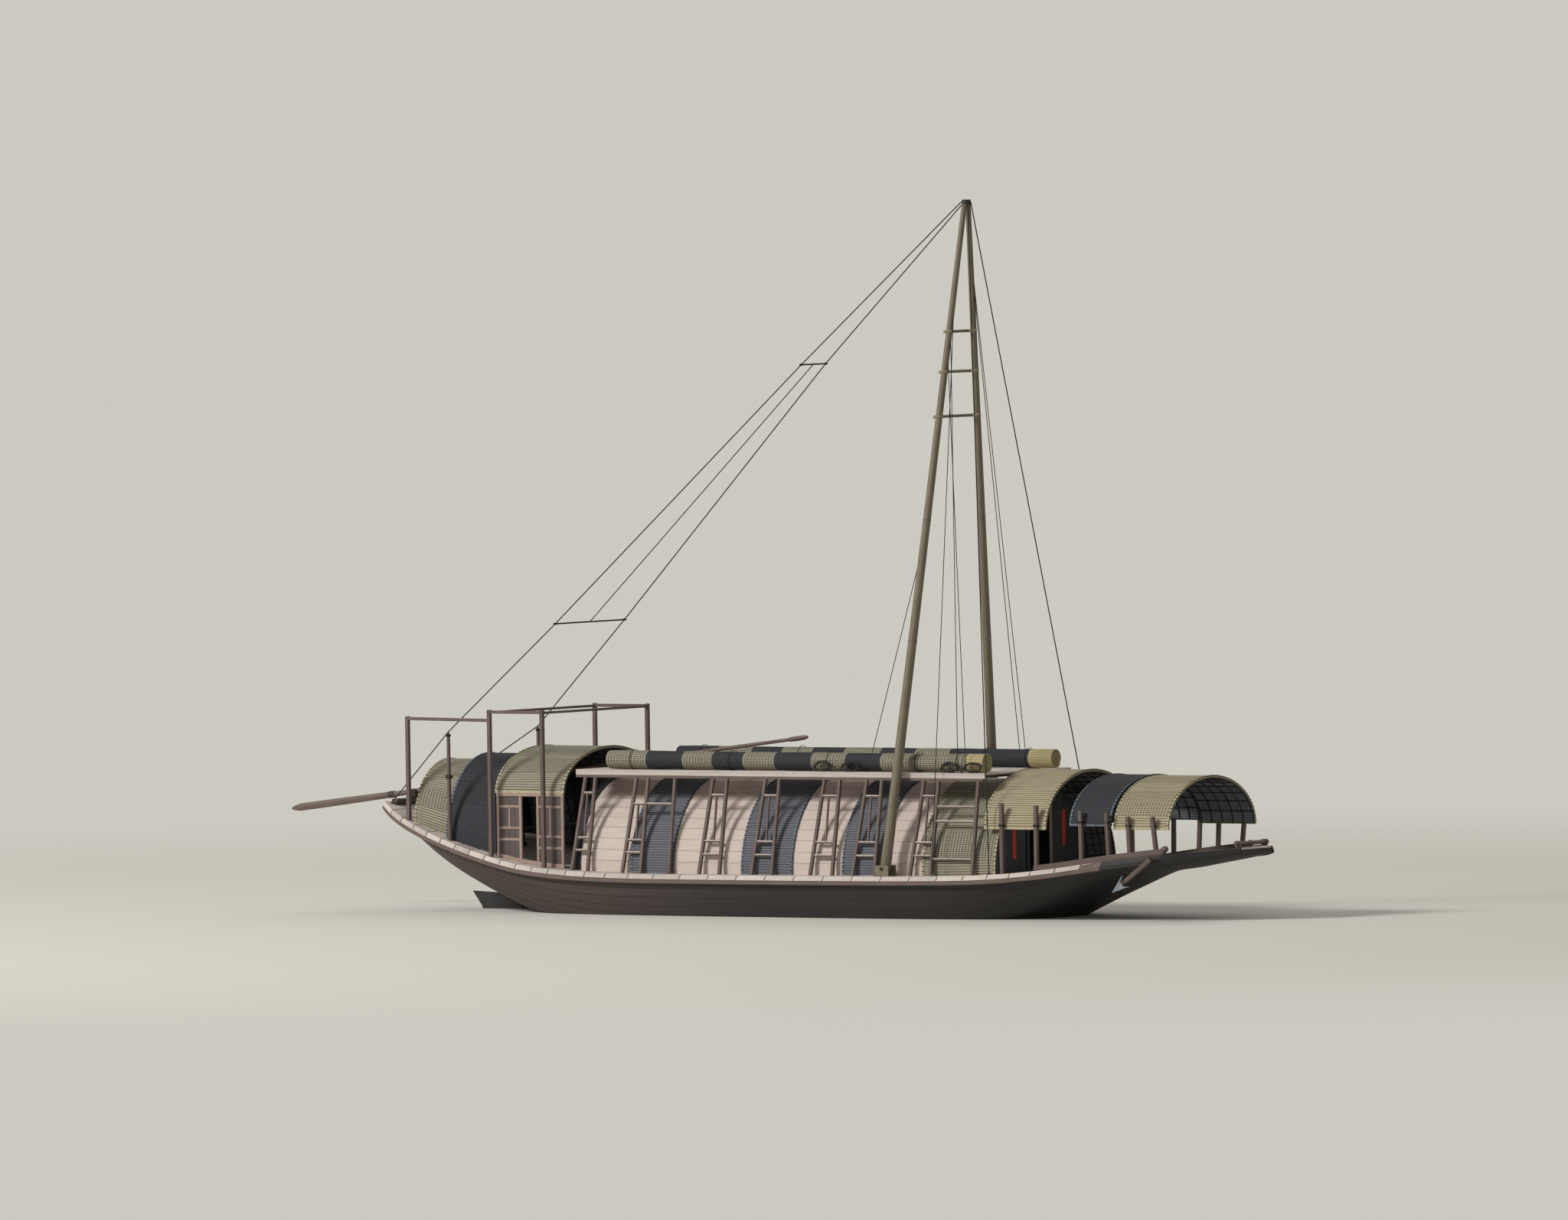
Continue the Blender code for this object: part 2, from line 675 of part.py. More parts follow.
def build_stern_posts(wood):
    spots = {name: (x, y, top) for name, x, y, top in STERN_POSTS}
    pieces = []
    for name, (x, y, top) in spots.items():
        for sign in (STARBOARD,) if name == "A" else (STARBOARD, PORT):
            low = highest_deck(x, STERN_POST / 2)
            start = (x - STERN_POST / 2, sign * y - STERN_POST / 2, low)
            pieces.append(block(start, (x + STERN_POST / 2, sign * y + STERN_POST / 2, top)))
    after, middle, fore = spots["A"], spots["C"], spots["D"]
    for sign in (STARBOARD, PORT):
        top = STERN_TOP_RAIL
        start = (middle[0], sign * middle[1], top)
        end = (fore[0], sign * fore[1], top)
        pieces.append(beam(start, end, STERN_RAIL, STERN_RAIL))
    start = (after[0], STARBOARD * after[1], STERN_LOW_RAIL)
    end = (middle[0], STARBOARD * middle[1], STERN_LOW_RAIL)
    pieces.append(beam(start, end, STERN_RAIL, STERN_RAIL))
    for x, y, _ in (middle, fore):
        start, end = (x, -y, STERN_TOP_RAIL - 0.01), (x, y, STERN_TOP_RAIL - 0.01)
        pieces.append(beam(start, end, STERN_RAIL * 0.8, STERN_RAIL * 0.8, (0, 0, 1)))
    fused("stern_posts", pieces, wood)
    x, y, top = STAY_POST
    for side, sign in SIDES:
        low = (x, sign * y, highest_deck(x, 0.05))
        add(f"stay_post_{side}", rod(low, (x, sign * y, top), 0.05, 0.042), wood)


def rail_y(x):
    share = (x - RAIL_AFT) / (RAIL_FORE - RAIL_AFT)
    return RAIL_AFT_Y + (RAIL_FORE_Y - RAIL_AFT_Y) * share


def held_at(awning):
    """Where a post's middle passes the lower edge of the awning that it holds: half distance, height."""
    half, edge = next((row[3], row[4]) for row in AWNINGS if row[0] == awning)
    return half + POST / 2 + POST_CLEARANCE, edge


def build_fore_posts(wood):
    for side, sign in SIDES:
        rings = []
        for x in places_between(RAIL_AFT, RAIL_FORE):
            y, low = rail_y(x), on_deck(x)
            near, far, top = y - RAIL_WIDTH / 2, y + RAIL_WIDTH / 2, low + RAIL_DEPTH
            ring = ((near, low), (far, low), (far, top), (near, top))
            rings.append([(x, sign * across, z) for across, z in ring])
        pieces = [lofted(rings)]
        knob_z = deck_z(RAIL_FORE) + RAIL_DEPTH
        knob = (RAIL_FORE - 0.08, sign * rail_y(RAIL_FORE), knob_z - 0.06)
        pieces.append(rod(knob, (RAIL_FORE + 0.07, knob[1], knob_z + 0.01), 0.075, 0.06))
        for x, top, awning in FORE_POSTS:
            y, edge = held_at(awning)
            foot_y, foot_z = rail_y(x), deck_z(x) + RAIL_DEPTH - 0.05
            top_y = foot_y + (y - foot_y) * (top - foot_z) / (edge - foot_z)
            pieces.append(beam((x, sign * foot_y, foot_z), (x, sign * top_y, top), POST, POST))
        fused(f"fore_posts_{side}", pieces, wood)
        x, top, awning = FIRST_POST
        y = held_at(awning)[0]
        low = (x, sign * y, highest_deck(x, POST / 2))
        add(f"house_post_{side}", beam(low, (x, sign * y, top), POST, POST), wood)


def build_lattice(wood):
    aft, fore = LATTICE_ENDS
    half, crown = VAULT_HALF - LATTICE_INSET, VAULT_CROWN - LATTICE_INSET
    places = places_between(aft, fore)
    wall = bent(places, half, crown, on_deck, VAULT_THICKNESS, last_step=LATTICE_STEPS)
    add("lattice_wall_port", wall, wood)


def mast_pin():
    return (MAST_FOOT[0], MAST_FOOT[1], deck_z(MAST_FOOT[0]) + MAST_PIN_RISE)


def build_mast(wood):
    pin_x, pin_y, pin_z = mast_pin()
    top = Vector(MAST_HEAD)
    step_low = highest_deck(pin_x, STEP_LENGTH / 2)
    for side, sign in SIDES:
        foot = Vector((pin_x, sign * pin_y, pin_z))
        head = Vector((top.x, sign * top.y, top.z))
        axis = (head - foot).normalized()
        heel = foot - axis * MAST_HEEL
        leg = rod(heel, head, LEG_FOOT_RADIUS, LEG_HEAD_RADIUS, sides=20)
        reach = pin_y + LEG_FOOT_RADIUS + 0.045
        inner = pin_y - LEG_FOOT_RADIUS - 0.045
        ends = (pin_x, sign * inner, pin_z), (pin_x, sign * reach, pin_z)
        pin = rod(*ends, MAST_PIN_RADIUS, sides=PIN_SIDES)
        fused(f"mast_leg_{side}", [leg, pin], wood)
        outer_face = pin_y + LEG_FOOT_RADIUS + 0.0195
        inner_face = pin_y - LEG_FOOT_RADIUS - 0.016
        cheeks = []
        for low_y, high_y in ((outer_face, outer_face + STEP_CHEEK), (inner_face - STEP_CHEEK, inner_face)):
            near, far = mirrored(sign, low_y, high_y)
            low = (pin_x - STEP_LENGTH / 2, near, step_low)
            cheeks.append(block(low, (pin_x + STEP_LENGTH / 2, far, step_low + STEP_HEIGHT)))
        near, far = mirrored(sign, inner_face - STEP_CHEEK / 2, outer_face + STEP_CHEEK / 2)
        low = (pin_x - STEP_LENGTH / 2 + 0.01, near, step_low)
        base = block(low, (pin_x + STEP_LENGTH / 2 - 0.01, far, step_low + 0.03))
        ends = (pin_x, sign * (inner - 0.05), pin_z), (pin_x, sign * (reach + 0.05), pin_z)
        bore = rod(*ends, MAST_PIN_RADIUS + PIN_CLEARANCE, sides=PIN_SIDES)
        step = fused(f"mast_step_{side}", [base, *cheeks], wood)
        solid = bmesh.new()
        solid.from_mesh(step.data)
        bpy.data.objects.remove(step, do_unlink=True)
        cut(f"mast_step_{side}", solid, [bore], wood)
    build_mast_head(wood, top)


def leg_at(z):
    """The middle and the radius of the port leg at a height."""
    pin, top = Vector(mast_pin()), Vector(MAST_HEAD)
    share = (z - pin.z) / (top.z - pin.z)
    return pin.lerp(top, share), LEG_FOOT_RADIUS + (LEG_HEAD_RADIUS - LEG_FOOT_RADIUS) * share


def build_mast_head(wood, top):
    pin = Vector(mast_pin())
    for number, z in enumerate(CROSSBAR_HEIGHTS, 1):
        middle, radius = leg_at(z)
        x = middle.x - radius - CROSSBAR_RADIUS - GAP
        reach = middle.y + 0.03
        bar = rod((x, -reach, z), (x, reach, z), CROSSBAR_RADIUS)
        add(f"mast_crossbar_{number}", bar, wood)
    long, wide, high = MAST_BLOCK
    # The block rests on the highest points of the sloping leg ends that are under it
    spare = wide / 2 - top.y
    across = math.sqrt(LEG_HEAD_RADIUS**2 - spare**2)
    rise = top.z - pin.z
    lift = (across * (top.x - pin.x) + spare * (pin.y - top.y)) / rise
    low = (top.x - long / 2, -wide / 2, top.z + lift + GAP)
    add("mast_head", block(low, (top.x + long / 2, wide / 2, high)), wood)


def build_stays(rope):
    post_x, post_y, post_top = STAY_POST
    (bar_x, bar_half, bar_z), (low_x, low_half, low_z) = SPREADERS
    pieces = []
    for sign in (STARBOARD, PORT):
        points = [
            (STAY_HEAD[0], sign * STAY_HEAD[1], STAY_HEAD[2]),
            (bar_x, sign * bar_half, bar_z),
            (low_x, sign * low_half, low_z),
            (post_x, sign * post_y, post_top + POST_EYE_RADIUS + GAP),
            (STERN_EYE[0], sign * STERN_EYE[1], deck_z(STERN_EYE[0]) + 0.03),
        ]
        for start, end in zip(points, points[1:]):
            pieces.append(rod(start, end, STAY_RADIUS, sides=6))
        for point in points[1:3]:
            pieces.append(joint_ball(point, STAY_RADIUS * 1.5))
        pieces.append(joint_ball(points[3], POST_EYE_RADIUS))
    for x, half, z in SPREADERS:
        pieces.append(rod((x, -half - 0.06, z), (x, half + 0.06, z), STAY_RADIUS * 1.3, sides=6))
    pieces.append(rod((bar_x, 0, bar_z), (low_x, 0, low_z), STAY_RADIUS * 0.9, sides=6))
    fused("backstay_bridle", pieces, rope)
    pieces = []
    foot_x, foot_y = FORE_STAY_FOOT
    for sign in (STARBOARD, PORT):
        foot = (foot_x, sign * foot_y, deck_z(foot_x))
        head = (FORE_STAY_HEAD[0], sign * FORE_STAY_HEAD[1], FORE_STAY_HEAD[2])
        stay = rod(foot, head, STAY_RADIUS, sides=6)
        pieces.append(stood(stay, deck_z(foot_x - STAY_RADIUS / 2) + GAP))
    pieces.append(rod((head[0], -head[1], head[2]), head, STAY_RADIUS, sides=6))
    fused("fore_stays", pieces, rope)


def joint_ball(point, radius):
    bm = bmesh.new()
    bmesh.ops.create_icosphere(bm, subdivisions=1, radius=radius)
    bmesh.ops.translate(bm, vec=point, verts=bm.verts)
    return bm


def sweep_z(x):
    return SWEEP_PIVOT[1] + SWEEP_SLOPE * (x - SWEEP_PIVOT[0])


def build_sweep(wood, iron):
    pivot_x, pivot_z = SWEEP_PIVOT
    rings = []
    for x, tall, thin in SWEEP_SECTIONS:
        ring = []
        for i in range(12):
            angle = 2 * math.pi * i / 12
            ring.append((x, thin * math.cos(angle), sweep_z(x) + tall * math.sin(angle)))
        rings.append(ring)
    reach = YOKE_INNER + YOKE_CHEEK + 0.004
    ends = (pivot_x, -reach, pivot_z), (pivot_x, reach, pivot_z)
    pin = rod(*ends, SWEEP_PIN_RADIUS, sides=PIN_SIDES)
    fused("stern_sweep", [lofted(rings), pin], wood)
    beam_low = highest_deck(pivot_x, STERN_BEAM_WIDTH / 2)
    beam_top = beam_low + STERN_BEAM_HEIGHT
    half = STERN_BEAM_WIDTH / 2
    corner = (pivot_x - half, -STERN_BEAM_HALF, beam_low)
    cross = block(corner, (pivot_x + half, STERN_BEAM_HALF, beam_top))
    ends = (pivot_x, 0, beam_low + 0.02), (pivot_x, 0, beam_top + 0.2)
    bore = rod(*ends, YOKE_PIN_RADIUS + PIN_CLEARANCE, sides=PIN_SIDES)
    cut("stern_beam", cross, [bore], wood)
    low = beam_top + GAP
    width = YOKE_INNER + YOKE_CHEEK
    pieces = [block((pivot_x - 0.09, -width, low), (pivot_x + 0.09, width, low + 0.03))]
    for sign in (STARBOARD, PORT):
        near, far = mirrored(sign, YOKE_INNER, YOKE_INNER + YOKE_CHEEK)
        cheek_low = (pivot_x - YOKE_LENGTH / 2, near, low)
        pieces.append(block(cheek_low, (pivot_x + YOKE_LENGTH / 2, far, pivot_z + 0.06)))
    ends = (pivot_x, 0, beam_low + 0.025), (pivot_x, 0, low + 0.02)
    pieces.append(rod(*ends, YOKE_PIN_RADIUS, sides=PIN_SIDES))
    yoke = fused("sweep_yoke", pieces, iron)
    solid = bmesh.new()
    solid.from_mesh(yoke.data)
    bpy.data.objects.remove(yoke, do_unlink=True)
    ends = (pivot_x, -2 * reach, pivot_z), (pivot_x, 2 * reach, pivot_z)
    hole = rod(*ends, SWEEP_PIN_RADIUS + PIN_CLEARANCE, sides=PIN_SIDES)
    cut("sweep_yoke", solid, [hole], iron)


def build_rudder(wood):
    stock_top = deck_z(STOCK_X) + TILLER_RISE + 0.10
    stock = rod((STOCK_X, 0, RUDDER_BOTTOM), (STOCK_X, 0, stock_top), STOCK_RADIUS, sides=16)
    blade = plate(RUDDER_BLADE, -RUDDER_THICKNESS / 2, RUDDER_THICKNESS / 2, 1)
    collar_low = highest_deck(STOCK_X, COLLAR_RADIUS)
    ends = (STOCK_X, 0, collar_low), (STOCK_X, 0, collar_low + COLLAR_HEIGHT)
    collar = rod(*ends, COLLAR_RADIUS, sides=PIN_SIDES)
    fused("rudder", [stock, blade, collar], wood)
    start = STOCK_X + STOCK_RADIUS + 0.0041
    z = deck_z(STOCK_X) + TILLER_RISE
    add("tiller", rod((start, 0, z), (start + TILLER_LENGTH, 0, z + 0.12), 0.042, 0.032), wood)


def build_bow_roller(wood):
    axis_z = deck_z(ROLLER_X) + ROLLER_RISE
    low = highest_deck(ROLLER_X, 0.08)
    pieces = [block((ROLLER_X - 0.06, -0.56, low), (ROLLER_X + 0.06, 0.56, low + 0.025))]
    for sign in (STARBOARD, PORT):
        near, far = mirrored(sign, ROLLER_HALF + 0.01, ROLLER_HALF + 0.01 + BOW_CHEEK)
        pieces.append(block((ROLLER_X - 0.08, near, low), (ROLLER_X + 0.08, far, axis_z + 0.06)))
    frame = fused("bow_roller_frame", pieces, wood)
    solid = bmesh.new()
    solid.from_mesh(frame.data)
    bpy.data.objects.remove(frame, do_unlink=True)
    ends = (ROLLER_X, -0.8, axis_z), (ROLLER_X, 0.8, axis_z)
    hole = rod(*ends, ROLLER_JOURNAL + PIN_CLEARANCE, sides=PIN_SIDES)
    cut("bow_roller_frame", solid, [hole], wood)
    barrel = rod((ROLLER_X, -ROLLER_HALF, axis_z), (ROLLER_X, ROLLER_HALF, axis_z), ROLLER_RADIUS, sides=16)
    ends = (ROLLER_X, -0.62, axis_z), (ROLLER_X, 0.62, axis_z)
    journal = rod(*ends, ROLLER_JOURNAL, sides=PIN_SIDES)
    knobs = []
    for sign in (STARBOARD, PORT):
        start = (ROLLER_X, sign * (ROLLER_HALF + BOW_CHEEK + 0.02), axis_z)
        knobs.append(rod(start, (ROLLER_X, sign * 0.65, axis_z), 0.05, 0.045))
    fused("bow_roller", [barrel, journal, *knobs], wood)


def anchor_seat():
    """How far out the strake stands where the shank lies against it."""
    span, seat, steps = ANCHOR_HEAD[0] - ANCHOR_HEEL[0], 0.0, 200
    slope = (ANCHOR_HEAD[1] - ANCHOR_HEEL[1]) / span
    reach = SHANK_WIDTH / 2 * math.hypot(1.0, slope)
    for step in range(steps + 1):
        x = ANCHOR_HEEL[0] + span * step / steps
        middle = ANCHOR_HEEL[1] + slope * (x - ANCHOR_HEEL[0])
        top, depth = deck_z(x), strake_depth(x)
        if middle + reach > top - depth and middle - reach < top - depth / 2:
            seat = max(seat, deck_half(x) + STRAKE_WIDTH + GAP)
    return seat


def build_anchor(wood, iron):
    anchor_y = -anchor_seat() - SHANK_DEPTH / 2 - 2 * GAP
    head = (ANCHOR_HEAD[0], anchor_y, ANCHOR_HEAD[1])
    heel = (ANCHOR_HEEL[0], anchor_y, ANCHOR_HEEL[1])
    add("anchor_shank", beam(heel, head, SHANK_WIDTH, SHANK_DEPTH), wood)
    axis = (Vector(heel) - Vector(head)).normalized()
    flat = Vector((axis.z, 0, -axis.x))
    start = Vector(heel) + axis * GAP
    tip = start + axis * 0.34
    outline = [start + flat * 0.06, start + flat * 0.16 - axis * 0.14, tip]
    outline += [start - flat * 0.16 - axis * 0.14, start - flat * 0.06]
    points = [(point.x, point.z) for point in outline]
    add("anchor_fluke", plate(points, anchor_y - 0.025, anchor_y + 0.025, 1), iron)


def build_coils(rope):
    for number, x in enumerate(ROPE_COILS, 1):
        foot = (x, COIL_Y, GANGWAY_TOP + COIL_THICKNESS * math.sin(COIL_LEAN) + GAP)
        coil = hank(foot, COIL_LONG, COIL_TALL, COIL_LEAN, COIL_THICKNESS)
        add(f"rope_coil_{number}", coil, rope)


def main():
    clear_scene()
    hull_wood = paint("Oiled hull planking", (0.075, 0.050, 0.047), 0.6)
    frame_wood = paint("Brown painted timber", (0.16, 0.075, 0.058), 0.55)
    pale_wood = paint("Scrubbed pale planking", (0.58, 0.45, 0.39), 0.75)
    house_wood = paint("Weathered house boards", (0.48, 0.36, 0.31), 0.75)
    dark_wood = paint("Dark stained boards", (0.02, 0.02, 0.022), 0.7)
    mast_wood = paint("Varnished mast spar", (0.26, 0.22, 0.13), 0.5)
    olive_mat = paint("Olive reed mat", (0.21, 0.19, 0.11), 0.9)
    dark_mat = paint("Tarred reed mat", (0.025, 0.030, 0.042), 0.85)
    rope = paint("Tarred rope", (0.02, 0.02, 0.02), 0.9)
    iron = paint("Forged iron", (0.20, 0.23, 0.25), 0.5, 0.9)

    build_hull(hull_wood)
    build_deck(pale_wood)
    build_strakes(frame_wood)
    build_house(house_wood, dark_mat, olive_mat)
    build_bulkheads(dark_wood)
    build_props(frame_wood)
    build_roof(frame_wood, pale_wood, olive_mat)
    build_mats(dark_mat, olive_mat)
    build_screens(frame_wood)
    build_stern_posts(frame_wood)
    build_fore_posts(frame_wood)
    build_lattice(dark_wood)
    build_mast(mast_wood)
    build_stays(rope)
    build_sweep(frame_wood, iron)
    build_rudder(hull_wood)
    build_bow_roller(frame_wood)
    build_anchor(frame_wood, iron)
    build_coils(rope)


main()
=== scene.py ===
"""The looks of a flat-bottomed Chinese river junk with a mat-roofed house and a bipod mast.

Metres. +X is the bow, +Y is port, +Z is up from the waterline.
"""

import math
import random

import bmesh
import bpy
from mathutils import Matrix, Vector
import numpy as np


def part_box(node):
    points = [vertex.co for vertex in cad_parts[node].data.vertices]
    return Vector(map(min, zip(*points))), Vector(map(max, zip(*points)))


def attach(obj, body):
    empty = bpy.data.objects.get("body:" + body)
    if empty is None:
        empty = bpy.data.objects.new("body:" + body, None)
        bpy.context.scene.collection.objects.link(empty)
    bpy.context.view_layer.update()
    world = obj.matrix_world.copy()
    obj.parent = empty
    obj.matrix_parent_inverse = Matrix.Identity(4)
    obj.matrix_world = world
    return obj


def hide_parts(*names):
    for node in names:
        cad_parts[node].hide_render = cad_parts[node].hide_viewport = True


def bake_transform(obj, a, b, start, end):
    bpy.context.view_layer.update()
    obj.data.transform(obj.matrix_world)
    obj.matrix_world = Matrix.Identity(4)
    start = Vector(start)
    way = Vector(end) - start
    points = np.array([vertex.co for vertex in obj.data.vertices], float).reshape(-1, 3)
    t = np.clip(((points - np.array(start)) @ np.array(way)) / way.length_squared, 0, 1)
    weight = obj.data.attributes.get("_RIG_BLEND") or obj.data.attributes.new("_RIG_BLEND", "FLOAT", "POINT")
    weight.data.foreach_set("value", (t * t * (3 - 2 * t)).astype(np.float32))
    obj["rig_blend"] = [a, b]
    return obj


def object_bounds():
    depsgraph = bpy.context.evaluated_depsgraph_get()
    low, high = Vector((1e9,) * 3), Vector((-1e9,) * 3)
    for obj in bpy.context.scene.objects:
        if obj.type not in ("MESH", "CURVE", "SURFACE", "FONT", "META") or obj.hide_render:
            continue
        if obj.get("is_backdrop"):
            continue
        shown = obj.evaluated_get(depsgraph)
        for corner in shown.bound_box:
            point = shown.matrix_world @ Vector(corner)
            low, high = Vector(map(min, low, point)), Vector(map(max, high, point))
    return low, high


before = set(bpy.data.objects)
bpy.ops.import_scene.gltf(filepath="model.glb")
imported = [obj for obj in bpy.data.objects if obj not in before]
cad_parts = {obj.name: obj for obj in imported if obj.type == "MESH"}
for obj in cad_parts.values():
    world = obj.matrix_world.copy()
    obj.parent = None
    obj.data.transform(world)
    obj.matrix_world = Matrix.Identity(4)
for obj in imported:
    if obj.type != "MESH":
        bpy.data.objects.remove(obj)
cad_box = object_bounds()

SIDES = (("starboard", -1), ("port", 1))
# clear space between solids that stand against each other
GAP = 0.0003
# one tone for every part, the same in each run
shades = random.Random(11)

# Hull lines: place along the hull, deck height, deck half width, bottom height, bottom half width
HULL_LINES = (
    (-11.55, 2.46, 0.86, 2.28, 0.60),
    (-11.00, 2.24, 1.24, 2.00, 0.76),
    (-10.40, 2.03, 1.54, 1.64, 0.90),
    (-9.60, 1.77, 1.79, 1.12, 1.02),
    (-8.80, 1.54, 1.95, 0.68, 1.10),
    (-8.00, 1.34, 2.08, 0.34, 1.16),
    (-7.00, 1.13, 2.19, -0.02, 1.24),
    (-5.80, 1.01, 2.29, -0.36, 1.36),
    (-4.20, 0.95, 2.36, -0.55, 1.50),
    (-2.00, 0.94, 2.38, -0.60, 1.60),
    (2.00, 0.95, 2.38, -0.60, 1.58),
    (4.20, 0.97, 2.37, -0.55, 1.34),
    (5.60, 1.00, 2.33, -0.33, 1.04),
    (6.60, 1.06, 2.27, 0.00, 0.80),
    (7.60, 1.16, 2.17, 0.48, 0.95),
    (8.70, 1.31, 2.00, 0.96, 1.13),
    (9.60, 1.42, 1.88, 1.10, 1.02),
    (10.40, 1.50, 1.77, 1.23, 0.92),
    (11.10, 1.56, 1.16, 1.34, 0.78),
    (11.73, 1.62, 0.62, 1.45, 0.56),
)
HULL_ENDS = (-11.55, 11.7295)
DECK_THICKNESS = 0.045
HOUSE_AFT, HOUSE_FORE = -5.62, 5.97
VAULT_HALF, VAULT_CROWN = 1.86, 3.06
GANGWAY_TOP = 3.26
# a wave texture's bands lie this far apart, divided by its scale
WAVE_UNIT = 0.31416


def hull_line(column, x):
    """A column of the hull lines at x, on smooth curves through the lines."""
    lines = HULL_LINES
    index = max(i for i in range(len(lines) - 1) if lines[i][0] <= x + 1e-9)
    start, end = lines[index], lines[index + 1]
    span = end[0] - start[0]
    t = (x - start[0]) / span

    def slope(at):
        low, high = max(at - 1, 0), min(at + 1, len(lines) - 1)
        return (lines[high][column] - lines[low][column]) / (lines[high][0] - lines[low][0])

    return (
        (2 * t**3 - 3 * t**2 + 1) * start[column]
        + (t**3 - 2 * t**2 + t) * slope(index) * span
        + (3 * t**2 - 2 * t**3) * end[column]
        + (t**3 - t**2) * slope(index + 1) * span
    )


def deck_z(x):
    return hull_line(1, x)


def deck_half(x):
    return hull_line(2, x)


# Finishes


def colour(code):
    """An sRGB hex colour as linear red, green, blue and alpha."""
    parts = [int(code[i : i + 2], 16) / 255 for i in (1, 3, 5)]
    return [p / 12.92 if p <= 0.04045 else ((p + 0.055) / 1.055) ** 2.4 for p in parts] + [1.0]


def add_node(tree, kind, values=None, links=None, **settings):
    """One node with its settings, its sockets' own values and what feeds its sockets.

    A Mix node's sockets are 0 for its factor, 2 and 3 for numbers, and 6 and 7 for colours.
    """
    made = tree.nodes.new("ShaderNode" + kind)
    for setting, value in settings.items():
        setattr(made, setting, value)
    for socket, value in (values or {}).items():
        made.inputs[socket].default_value = value
    for socket, source in (links or {}).items():
        tree.links.new(source, made.inputs[socket])
    return made


def finish(name, roughness, **uniform):
    """A material with its node tree, and the values that are the same all over it."""
    material = bpy.data.materials.new(name)
    material.use_nodes = True
    shader = material.node_tree.nodes["Principled BSDF"]
    shader.inputs["Roughness"].default_value = roughness
    for socket, value in uniform.items():
        shader.inputs[socket.replace("_", " ")].default_value = value
    return material, material.node_tree


def dressed(material, tint, relief):
    """The material, once its colour and its relief feed its shader."""
    tree = material.node_tree
    shader = tree.nodes["Principled BSDF"]
    tree.links.new(tint, shader.inputs["Base Color"])
    tree.links.new(relief.outputs["Normal"], shader.inputs["Normal"])
    return material


def timber_finish(name, light, dark, worn, grain=0.03, roughness=0.7):
    """Sawn timber: grain along the piece, boards of different tone, and worn patches.

    Real growth rings lie 2 to 5 mm apart; grain is the wider spacing that shows from afar.
    """
    material, tree = finish(name, roughness)
    coords = add_node(tree, "TexCoord")
    along = add_node(tree, "Mapping", {"Scale": (1.1, 1 / grain, 1.0)}, {"Vector": coords.outputs["UV"]})
    tone = add_node(tree, "Attribute", attribute_name="shade")
    # a part's tone moves its pattern too, so that boards side by side differ in grain
    feed = {0: along.outputs["Vector"], 1: tone.outputs["Vector"], 2: along.outputs["Vector"]}
    shifted = add_node(tree, "VectorMath", {}, feed, operation="MULTIPLY_ADD")
    drawn = {"Scale": 1.0, "Detail": 5.0, "Roughness": 0.62, "Distortion": 0.4}
    lines = add_node(tree, "TexNoise", drawn, {"Vector": shifted.outputs["Vector"]})
    spread = {"From Min": 0.38, "From Max": 0.72}
    late_wood = add_node(tree, "MapRange", spread, {"Value": lines.outputs["Fac"]})
    tints = {6: colour(light), 7: colour(dark)}
    mixed = add_node(tree, "Mix", tints, {0: late_wood.outputs["Result"]}, data_type="RGBA")
    cloud = {"Scale": 2.2, "Detail": 4.0, "Roughness": 0.7}
    patches = add_node(tree, "TexNoise", cloud, {"Vector": coords.outputs["Object"]})
    spread = {"From Min": 0.52, "From Max": 0.74, "To Max": 0.35}
    worn_away = add_node(tree, "MapRange", spread, {"Value": patches.outputs["Fac"]})
    feed = {0: worn_away.outputs["Result"], 6: mixed.outputs[2]}
    aged = add_node(tree, "Mix", {7: colour(worn)}, feed, data_type="RGBA")
    brightness = add_node(tree, "MapRange", {"To Min": 0.86, "To Max": 1.12}, {"Value": tone.outputs["Fac"]})
    feed = {"Color": aged.outputs[2], "Value": brightness.outputs["Result"]}
    toned = add_node(tree, "HueSaturation", {}, feed)
    bump = add_node(tree, "Bump", {"Strength": 0.5, "Distance": 0.0025}, {"Height": lines.outputs["Fac"]})
    return dressed(material, toned.outputs["Color"], bump)


